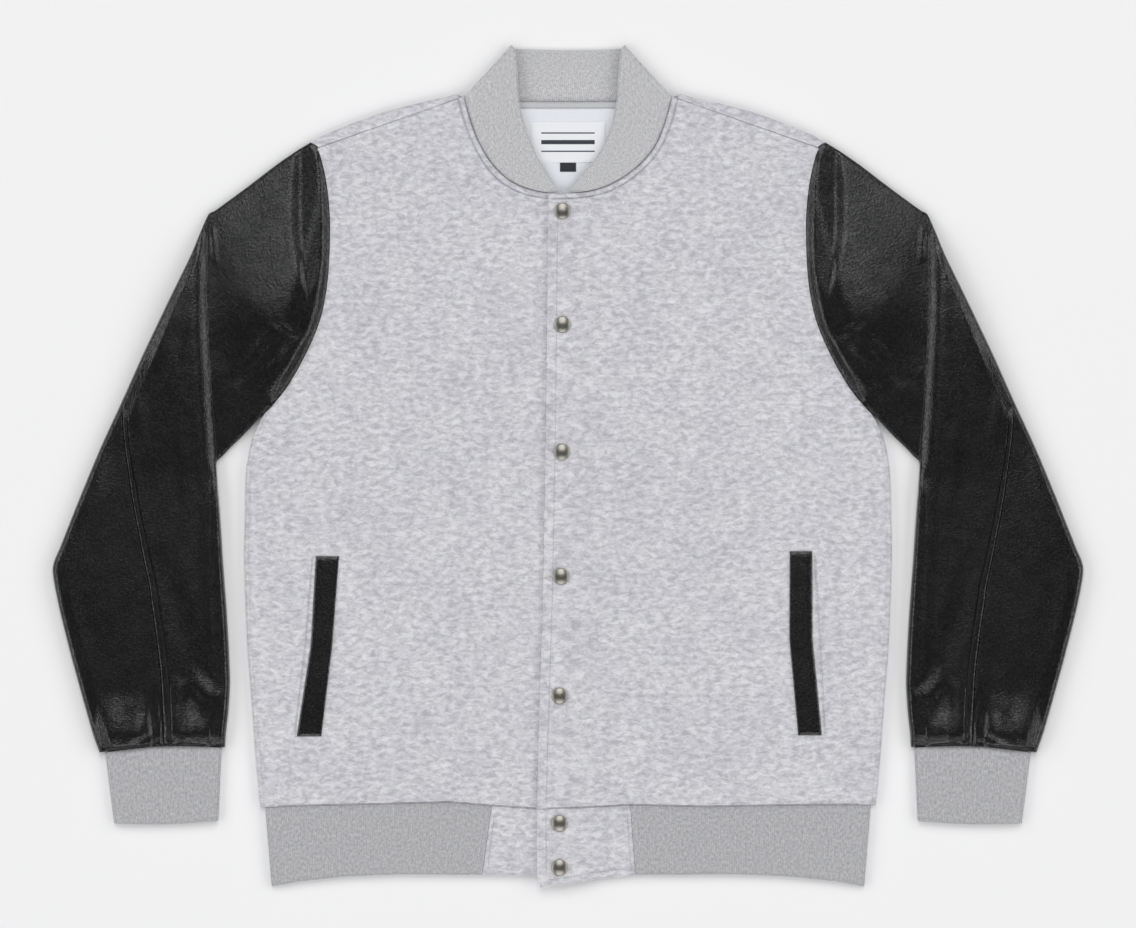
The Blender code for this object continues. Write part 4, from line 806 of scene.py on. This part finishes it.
for side in (-1, 1):
    k = np.linspace(COLLAR_START, 1, 84)
    foot = line_through(COLLAR_SEAM, k)[None]
    edge = line_through(COLLAR_EDGE, (k - COLLAR_START) / (1 - COLLAR_START))[None]
    shift = COLLAR_FOLD * ease((k[None] - 0.6) / 0.4) * v
    x = mix(foot[..., 0], edge[..., 0], v) + inward[0] * shift - 0.2 * (1 - v)
    y = mix(foot[..., 1], edge[..., 1], v) + inward[1] * shift + 0.2 * (1 - v)
    z = 2 * COLLAR_FOLD + 1.4 * np.sin(math.pi * k[None]) * ease(v) - collar_edge
    x = side * x + neck_lean(y)
    z += folds(x, y, COLLAR_FOLDS) * ease((1 - k[None]) / 0.15)
    front = points_of(x, y, z)
    n, inset, z = round_fold(15, COLLAR_FOLD, collar_edge)
    x = side * (mix(foot_end[0], top_end[0], v) + inward[0] * inset)
    y = mix(foot_end[1], top_end[1], v) + inward[1] * inset
    parts.append((front, points_of(x, y, z)))
u = np.linspace(-1, 1, 60)[None, 1:-1]
foot_x, top_x = u * (foot_end[0] + inward[0] * COLLAR_FOLD), u * (top_end[0] + inward[0] * COLLAR_FOLD)
top_y = mix(top_end[1] - COLLAR_TOP_DIP, top_end[1] + inward[1] * COLLAR_FOLD, u * u)
y = mix(straight(BACK_NECK, np.abs(foot_x)) + SEAM_GAP, top_y, v)
grid = ring(parts, points_of(mix(foot_x, top_x, v), y, 0.0))
# The same rib knit as on the cuffs and the waistband, in lighter yarn colours. This is painted light: it is the same
# yarn, and the collar looks lighter only because of how the light falls on it.
rib_painted_lighter = rib.copy()
rib_painted_lighter.name = "rib_knit_painted_lighter"
feed(rib_painted_lighter, rib_painted_lighter.node_tree.nodes[yarn.name], {6: linear("#b4b4b7"), 7: linear("#dededf")})
collar = cloth("collar_rib_knit", grid, RIB_WALL, rib_painted_lighter, outward=False, uv=along_the_cloth(grid))
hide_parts("collar")


def neck_binding(side):
    suffix = SIDES[side]
    k = np.linspace(0.0 if side > 0 else UNDER_BINDING_START, 1, 130)[:, None]
    low, high = line_through(NECK_EDGE, k[:, 0]), line_through(COLLAR_SEAM, k[:, 0])
    across = np.linspace(0.04, 0.96, 11)[None, :]
    x, y = (mix(low[:, i : i + 1], high[:, i : i + 1], across) for i in (0, 1))
    lift = dip(k - 0.14, LAP_LIFT, 0.12) * (side > 0)
    z = BODY_HEIGHT - 0.4 + lift + 1.7 * np.sin(math.pi * across) ** 0.6 - dip(k, 1.2, 0.012) * (side > 0)
    grid = points_of(side * x + neck_lean(y), y, z)
    piece = cloth(f"neck_binding_{suffix}_cloth", grid, TRIM_WALL, fleece, outward=side < 0)
    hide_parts(f"neck_binding_{suffix}")
    return piece


binding_left, binding_right = neck_binding(1), neck_binding(-1)

# ---------------------------------------------------------------- inside of the neck
# Jersey lines the back. A twill tape covers the collar's seam, and under it hang a plain woven label and a small
# size tab. All are sewn on by machine.
LINING_TOP, TAPE_TOP, LABEL_TOP = 4.2, 5.3, 5.0  # heights over the table
LINING_HALF, LINING_FOOT_HALF, LINING_FOOT = 72.0, 40.0, 232.0
TAPE_HALF, TAPE_WIDTH = 56.0, 6.0
LABEL_HALF, LABEL_HEAD, LABEL_FOOT = 33.0, 309.0, 272.6
SIZE_TAB_HALF, SIZE_TAB_HEAD, SIZE_TAB_FOOT = 7.2, 272.3, 264.2


def ridged(name, turn, fineness, wave, low, high, strength):
    """Plain cloth with slanting ridges, drawn coarser than the real ones. Their tops are painted lighter and their
    grooves darker, as painted light and shade. They turn in radians.
    """
    material = new_material(name)
    place = add(material, "TexCoord")
    slanted = add(material, "Mapping", {
        "Vector": (place, "Object"), "Rotation": (0, 0, turn), "Scale": (fineness, fineness, 1)})
    ridges = add(material, "TexWave", {"Vector": (slanted, "Vector"), "Scale": 0.314, "Distortion": wave})
    # Painted light and shade: the colour follows the ridges' bump, lighter on their tops and darker in the grooves.
    shades = blend(material, (ridges, "Fac"), linear(low), linear(high))
    raised = bump(material, (ridges, "Fac"), strength, 0.0003)
    finish_of(material, Base_Color=(shades, 2), Normal=(raised, 0), Roughness=0.9)
    return material


# White polyester jersey: thin and smooth, with faint slanting rows of stitches. Its white is painted a little grey,
# as painted shade from the collar over it.
jersey = ridged("white_lining_jersey", 0.9, 700, 1.0, "#dcdfe6", "#edeff4", 0.4)
# Cotton twill, woven in light grey with fine slanting ridges.
twill = ridged("grey_twill_tape", 0.3, 900, 0.8, "#b4b5ba", "#d2d3d7", 0.5)


def laid_piece(name, node, finish, outline, top, size, count, edge=1.5, wall=0.5, relief=()):
    """A thin piece laid level, with its edges pressed down. outline(u, v) gives X and Y for u and v from 0 to 1."""
    u, v = np.linspace(0, 1, count[0])[None, :], np.linspace(0, 1, count[1])[:, None]
    x, y = np.broadcast_arrays(*outline(u, v))
    rim = np.minimum(np.minimum(u, 1 - u) * size[0], np.minimum(v, 1 - v) * size[1])
    z = top - dip(rim, 0.35, edge) + folds(x, y, relief)
    piece = cloth(name, points_of(x, y, z), wall, finish, outward=False)
    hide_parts(node)
    return piece


def back_neck_y(x):
    return straight(BACK_NECK, np.abs(x))


def lining_outline(u, v):
    x = (2 * u - 1) * mix(LINING_HALF, LINING_FOOT_HALF, ease(v) ** 2)
    return x, mix(back_neck_y(x) - SEAM_GAP, LINING_FOOT, v)


def tape_outline(u, v):
    x = (2 * u - 1) * TAPE_HALF
    return x, back_neck_y(x) - SEAM_GAP - TAPE_WIDTH * v


LINING_FOLDS = ((0.5, 10, 10, ((-40, 300), (-20, 270), (-6, 240))), (-0.4, 9, 9, ((30, 310), (22, 280), (10, 250))))
laid_piece("back_neck_lining_jersey", "back_neck_lining", jersey, lining_outline, LINING_TOP, (136, 95),
           (70, 50), relief=LINING_FOLDS)
tape = laid_piece("back_neck_tape_twill", "back_neck_tape", twill, tape_outline, TAPE_TOP,
                  (2 * TAPE_HALF, TAPE_WIDTH), (60, 9), wall=0.6)


def woven(material, low, high):
    """A checker of threads, drawn 0.4 mm wide, which is coarser than the real ones, so that they show."""
    place = add(material, "TexCoord")
    threads = add(material, "Mapping", {"Vector": (place, "Object"), "Scale": (2500, 2500, 1)})
    return add(material, "TexChecker", {
        "Vector": (threads, "Vector"), "Scale": 1.0, "Color1": low, "Color2": high})


# Damask label: white satin with three plain dark bars woven in. It is smooth and a little shiny.
satin = new_material("white_woven_label")
weave = woven(satin, (0.8, 0.8, 0.8, 1.0), (0.2, 0.2, 0.2, 1.0))
split = add(satin, "SeparateXYZ", {"Vector": (add(satin, "TexCoord"), "Object")})
bars = None
for middle, bar_half in ((0.2990, 0.0006), (0.2908, 0.0019), (0.2826, 0.0006)):  # in metres
    away = add(satin, "Math", {0: (split, "Y"), 1: middle}, operation="SUBTRACT")
    far = add(satin, "Math", {0: (away, 0)}, operation="ABSOLUTE")
    bar = add(satin, "Math", {0: (far, 0), 1: bar_half}, operation="LESS_THAN")
    bars = bar if bars is None else add(satin, "Math", {0: (bars, 0), 1: (bar, 0)}, operation="MAXIMUM")
wide = add(satin, "Math", {0: (split, "X")}, operation="ABSOLUTE")
inside = add(satin, "Math", {0: (wide, 0), 1: 0.024}, operation="LESS_THAN")
barred = add(satin, "Math", {0: (bars, 0), 1: (inside, 0)}, operation="MULTIPLY")
printed = blend(satin, (barred, 0), linear("#eceef2"), linear("#2c303c"))
label_bump = bump(satin, (weave, "Fac"), 0.3, 0.0001)
finish_of(satin, Base_Color=(printed, 2), Normal=(label_bump, 0), Roughness=0.55)
laid_piece("neck_label_woven", "neck_label", satin,
           lambda u, v: ((2 * u - 1) * LABEL_HALF, mix(LABEL_HEAD, LABEL_FOOT, v)), LABEL_TOP,
           (66.0, 36.4), (30, 20), wall=0.4)
# Black woven tape: two near blacks show its weave, and it hardly shines.
black_tape = new_material("black_woven_tape")
weave = woven(black_tape, linear("#1d1f27"), linear("#262934"))
tab_bump = bump(black_tape, (weave, "Fac"), 0.4, 0.0001)
finish_of(black_tape, Base_Color=(weave, "Color"), Normal=(tab_bump, 0), Roughness=0.7)
laid_piece("size_tab_woven", "size_tab", black_tape,
           lambda u, v: ((2 * u - 1) * SIZE_TAB_HALF, mix(SIZE_TAB_HEAD, SIZE_TAB_FOOT, v)), LABEL_TOP,
           (2 * SIZE_TAB_HALF, 8.1), (12, 8), edge=1.0, wall=0.4)

# ---------------------------------------------------------------- pockets
# Slanting welt pockets: a flat folded strip of the leather stands at the front edge of each opening, and a narrow
# lip of fleece is turned over at the back edge.
WELT_STANDS, WELT_ROUND, LIP_STANDS = 1.9, 2.0, 0.9
WELTS = {  # Y, the strip's inner and outer edge, width of the lip beside the opening
    -1: ((-81.0, 205.4, 225.8, 2.2), (-161.0, 211.5, 230.4, 4.2), (-242.5, 221.3, 243.0, 1.4)),
    1: ((-76.5, 198.9, 218.8, 1.2), (-155.0, 198.6, 219.0, 6.0), (-241.5, 206.5, 227.4, 2.0)),
}


def pocket(side):
    suffix = SIDES[side]
    table = np.array(WELTS[side])
    y = np.linspace(table[0, 0], table[-1, 0], 90)[:, None]
    inner, outer, lip = (np.interp(y, table[::-1, 0], table[::-1, i]) for i in (1, 2, 3))
    k = np.linspace(0, 1, 18)[None, :]
    x = side * mix(inner, outer, k)
    rim = np.minimum(np.minimum(k, 1 - k) * 20.0, np.minimum(y - y[-1], y[0] - y))
    z = front_top(side, x, y + 0 * x) + WELT_STANDS
    z -= 1 - np.sqrt(1 - (1 - np.clip(rim / WELT_ROUND, 0, 1)) ** 2) + groove(rim - 2.6, 0.25, 0.9)
    welt = cloth(f"pocket_welt_{suffix}_leather", points_of(x, y, z), TRIM_WALL, leather, outward=side < 0)
    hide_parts(f"pocket_welt_{suffix}")
    k = np.linspace(0, 1, 8)[None, :]
    x = side * (outer + SEAM_GAP + k * lip)
    z = front_top(side, x, y + 0 * x) + SEAM_GAP + LIP_STANDS * np.sin(math.pi * k) ** 0.5
    lip_piece = cloth(f"pocket_lip_{suffix}_cloth", points_of(x, y, z), 0.6, fleece, outward=side < 0)
    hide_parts(f"pocket_lip_{suffix}")


pocket(1)
pocket(-1)

# ---------------------------------------------------------------- snaps
# Seven domed caps of pressed and nickel-plated steel, brushed, each with a rolled rim that grips the lap.
SNAPS = ((-5.0, 228.6), (-5.0, 126.9), (-5.4, 12.6), (-6.3, -99.0), (-7.6, -206.1), (-7.6, -320.4), (-7.6, -360.0))
CAP_PROFILE = (  # radius, height above the last one
    (7.2, 0.3), (7.4, 0.6), (7.1, 0.45), (6.6, 0.2), (5.9, 0.28), (4.9, 0.33), (3.7, 0.31), (2.3, 0.25), (0.8, 0.14),
)
radius = 6.2
bpy.ops.object.select_all(action="DESELECT")
bpy.ops.mesh.primitive_circle_add(vertices=40, radius=radius * MM, fill_type="NGON", location=(0, 0, 0))
cap = bpy.context.object
cap.name = "snap_cap"
bpy.ops.object.mode_set(mode="EDIT")
bpy.ops.mesh.select_all(action="SELECT")
for wider, lift in CAP_PROFILE:
    grow, radius = wider / radius, wider
    bpy.ops.mesh.extrude_region_move(TRANSFORM_OT_translate={"value": (0, 0, lift * MM)})
    bpy.ops.transform.resize(value=(grow, grow, 1), center_override=(0, 0, 0))
bpy.ops.mesh.select_all(action="SELECT")
bpy.ops.mesh.normals_make_consistent(inside=False)
bpy.ops.object.mode_set(mode="OBJECT")
smoother = cap.modifiers.new("smoother", "SUBSURF")
smoother.levels = smoother.render_levels = 1
bpy.ops.object.modifier_apply(modifier=smoother.name)
bpy.ops.object.shade_smooth()
# Nickel plate, brushed one way: a grey metal with a broad shine, streaked by its fine lines.
nickel = new_material("brushed_nickel")
place = add(nickel, "TexCoord")
brushing = add(nickel, "Mapping", {"Vector": (place, "Object"), "Scale": (300, 3500, 300)})
lines = add(nickel, "TexNoise", {"Vector": (brushing, "Vector"), "Scale": 1.0, "Detail": 2.0})
tarnish = blend(nickel, (lines, "Fac"), linear("#86827b"), linear("#aaa79f"))
nickel_bump = bump(nickel, (lines, "Fac"), 0.12, 0.0001)
finish_of(nickel, Base_Color=(tarnish, 2), Normal=(nickel_bump, 0), Metallic=1.0, Roughness=0.3)
cap.data.materials.append(nickel)
for n, (x, y) in enumerate(SNAPS, 1):
    seat = (HEM_HEIGHT if y < BACK_WAIST_Y else BODY_HEIGHT) + LAP_LIFT + SEAM_GAP
    copy = bpy.data.objects.new(f"snap_{n}_cap", cap.data.copy())
    bpy.context.scene.collection.objects.link(copy)
    copy.data.transform(Matrix.Translation((x * MM, y * MM, seat * MM)))
    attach(copy, "root")
    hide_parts(f"snap_{n}")
bpy.data.objects.remove(cap)

# ---------------------------------------------------------------- stitching
# Lockstitch in spun polyester thread: grey on the fleece and the neck, black on the leather. Each stitch is 2.4 mm
# of thread that dips into the cloth at both ends.
STITCH_PITCH, THREAD = 3.1, 0.26  # from stitch to stitch, and the thread's radius, drawn thicker than the real one
bpy.ops.object.select_all(action="DESELECT")
bpy.ops.mesh.primitive_circle_add(vertices=5, radius=THREAD * MM, fill_type="NGON", rotation=(0, math.pi / 2, 0))
stitch = bpy.context.object
stitch.name = "one_stitch"
bpy.ops.object.transform_apply(location=False, rotation=True, scale=False)
bpy.ops.object.mode_set(mode="EDIT")
bpy.ops.mesh.select_all(action="SELECT")
bpy.ops.transform.translate(value=(-1.2 * MM, 0, -0.3 * MM))
for step, lift in ((0.3, 0.3), (0.9, 0.16), (0.9, -0.16), (0.3, -0.3)):
    bpy.ops.mesh.extrude_region_move(TRANSFORM_OT_translate={"value": (step * MM, 0, lift * MM)})
bpy.ops.mesh.select_all(action="SELECT")
bpy.ops.mesh.normals_make_consistent(inside=False)
bpy.ops.object.mode_set(mode="OBJECT")
bpy.ops.object.shade_smooth()


def thread_of(name, colour, lighter):
    """Spun thread: fibres twisted together, which gives a fine slant of two near shades and hardly any shine."""
    thread = new_material(name)
    place = add(thread, "TexCoord")
    fibres = add(thread, "TexNoise", {"Vector": (place, "Object"), "Scale": 2500.0, "Detail": 2.0})
    spun = blend(thread, (fibres, "Fac"), linear(colour), linear(lighter))
    twist = bump(thread, (fibres, "Fac"), 0.3, 0.0001)
    finish_of(thread, Base_Color=(spun, 2), Normal=(twist, 0), Roughness=0.7)
    return thread


grey_thread = thread_of("grey_spun_thread", "#a9a9af", "#c2c2c8")
black_thread = thread_of("black_spun_thread", "#161616", "#3a3a3c")
# A dark grey thread along the waist seam is painted shadow. It stands for the shade in the gap between the body and
# the band.
painted_seam_shadow_thread = thread_of("painted_shadow_thread", "#6e6e74", "#86868c")


def sew(name, on, line, thread, pitch=STITCH_PITCH, turn=0.0):
    """Stitches along a line of X, Y on top of a piece. turn lays each one askew, in radians."""
    line = np.array(line, float)
    reach = np.concatenate([[0.0], np.cumsum(np.linalg.norm(np.diff(line, axis=0), axis=1))])
    goal = np.arange(pitch, reach[-1] - pitch / 2, pitch)
    x, y = (np.interp(goal, reach, line[:, i]) for i in (0, 1))
    ahead_x, ahead_y = (np.interp(goal + 0.5, reach, line[:, i]) for i in (0, 1))
    row = []
    for n in range(len(goal)):
        met, spot, up, _ = on.ray_cast((x[n] * MM, y[n] * MM, 0.05), (0, 0, -1))
        if not met or up.z < 0.4:
            continue
        way = math.atan2(ahead_y[n] - y[n], ahead_x[n] - x[n]) + turn
        along = Vector((math.cos(way), math.sin(way), 0.0))
        along = (along - up * along.dot(up)).normalized()
        seat = Matrix((along, up.cross(along), up)).transposed().to_4x4()
        seat.translation = spot + up * 0.12 * MM
        copy = bpy.data.objects.new(f"{name}_{n}", stitch.data.copy())
        copy.data.transform(seat)
        bpy.context.scene.collection.objects.link(copy)
        row.append(copy)
    bpy.ops.object.select_all(action="DESELECT")
    for copy in row:
        copy.select_set(True)
    bpy.context.view_layer.objects.active = row[0]
    bpy.ops.object.join()
    row[0].name = row[0].data.name = name
    row[0].data.materials.append(thread)
    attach(row[0], "root")


for side, front, tab, binding, top_sleeve in (
    (1, front_left, tab_left, binding_left, top_sleeve_left),
    (-1, front_right, tab_right, binding_right, top_sleeve_right),
):
    suffix = SIDES[side]
    k = np.linspace(0.02 if side > 0 else UNDER_BINDING_START + 0.02, 0.985, 120)
    foot, head = line_through(NECK_EDGE, k), line_through(COLLAR_SEAM, k)
    for label, share in (("neck_edge", 0.2), ("neck_top", 0.82)):
        across = mix(foot, head, share)
        path = points_of(side * across[:, 0] + neck_lean(across[:, 1]), across[:, 1])
        sew(f"{label}_stitching_{suffix}", binding, path, grey_thread)
    t = np.linspace(11.3, 20.8, 160)
    table = sections(t)
    welt = table[5] + 6.2 / np.hypot(table[2] - table[0], table[3] - table[1])
    path = sleeve_points(side, t, welt, 0.0)[:, 0, :2]
    sew(f"elbow_stitching_{suffix}", top_sleeve, path, black_thread, pitch=2.4, turn=0.9)
    welt_rows = np.array(WELTS[side])
    y = np.linspace(welt_rows[0, 0] - 1.5, welt_rows[-1, 0] + 1.5, 40)
    outer, lip = (np.interp(y, welt_rows[::-1, 0], welt_rows[::-1, i]) for i in (2, 3))
    path = points_of(side * (outer + lip + 1.6), y)
    sew(f"pocket_stitching_{suffix}", front, path, grey_thread)
    y = np.linspace(waist_y(side * 60.0) - 6.0, -362.0, 20)
    x = side * np.interp(y, (-377.0, -309.0), (abs(TAB_SEAM[side][1]), abs(TAB_SEAM[side][0]))) - side * 3.0
    sew(f"tab_side_stitching_{suffix}", tab, points_of(x, y), grey_thread)
    x = np.linspace(-20.0 if side > 0 else 5.0, side * 262.0, 200)
    # Painted shadow: a row of dark stitches along the waist seam.
    sew(f"waist_seam_thread_{suffix}", front, points_of(x, waist_y(x) + 1.0), painted_seam_shadow_thread, pitch=2.5)
y = np.linspace(232.0, -303.0, 200)
sew("lap_stitching", front_left, points_of(lap_x(y) + 8.4, y), grey_thread)
y = np.linspace(-311.0, -370.0, 20)
lap_foot_x = lap_x(LAP_EDGE[0][1])
sew("tab_end_stitching", tab_left, points_of(lap_foot_x + 8.4, y), grey_thread)
x = np.linspace(lap_foot_x + 9.0, 53.0, 20)
sew("tab_foot_stitching", tab_left, points_of(x, straight(LAP_HEM, x) + 6.5), grey_thread)
x = np.linspace(-50.0, 50.0, 40)
for label, down in (("upper", 0.9), ("lower", 5.1)):
    sew(f"tape_stitching_{label}", tape, points_of(x, back_neck_y(x) - SEAM_GAP - down), grey_thread)
bpy.data.objects.remove(stitch)

# ---------------------------------------------------------------- light
# A ring of large soft boxes with a darker middle overhead, so that leather stays black where it lies level and
# shines where it leans.
FAR = 6.0
world = bpy.data.worlds.new("studio")
world.use_nodes = True
world.node_tree.nodes["Background"].inputs["Color"].default_value = linear("#ffffff")
world.node_tree.nodes["Background"].inputs["Strength"].default_value = 0.06
bpy.context.scene.world = world
for name, azimuth, near, low, half_width, brightness in (  # angles from straight overhead, in degrees
    ("left_box", 180, 41, 71, 44, 1.95), ("right_box", 0, 41, 71, 44, 1.91),
    ("top_box", 90, 12, 56, 17, 2.5), ("foot_box", 270, 28, 66, 20, 1.9), ("over_box", 90, -9, 8, 13, 0.2),
):
    light = bpy.data.lights.new(name, "AREA")
    wide, deep = (2 * FAR * math.tan(math.radians(reach)) for reach in (half_width, (low - near) / 2))
    light.shape, light.size, light.size_y, light.energy = "RECTANGLE", wide, deep, brightness * math.pi * wide * deep
    box = bpy.data.objects.new(name, light)
    a, b = math.radians(azimuth), math.radians((near + low) / 2)
    box.location = (FAR * math.cos(a) * math.sin(b), FAR * math.sin(a) * math.sin(b), FAR * math.cos(b))
    box.rotation_euler = (b, 0.0, a + math.pi / 2)
    bpy.context.scene.collection.objects.link(box)
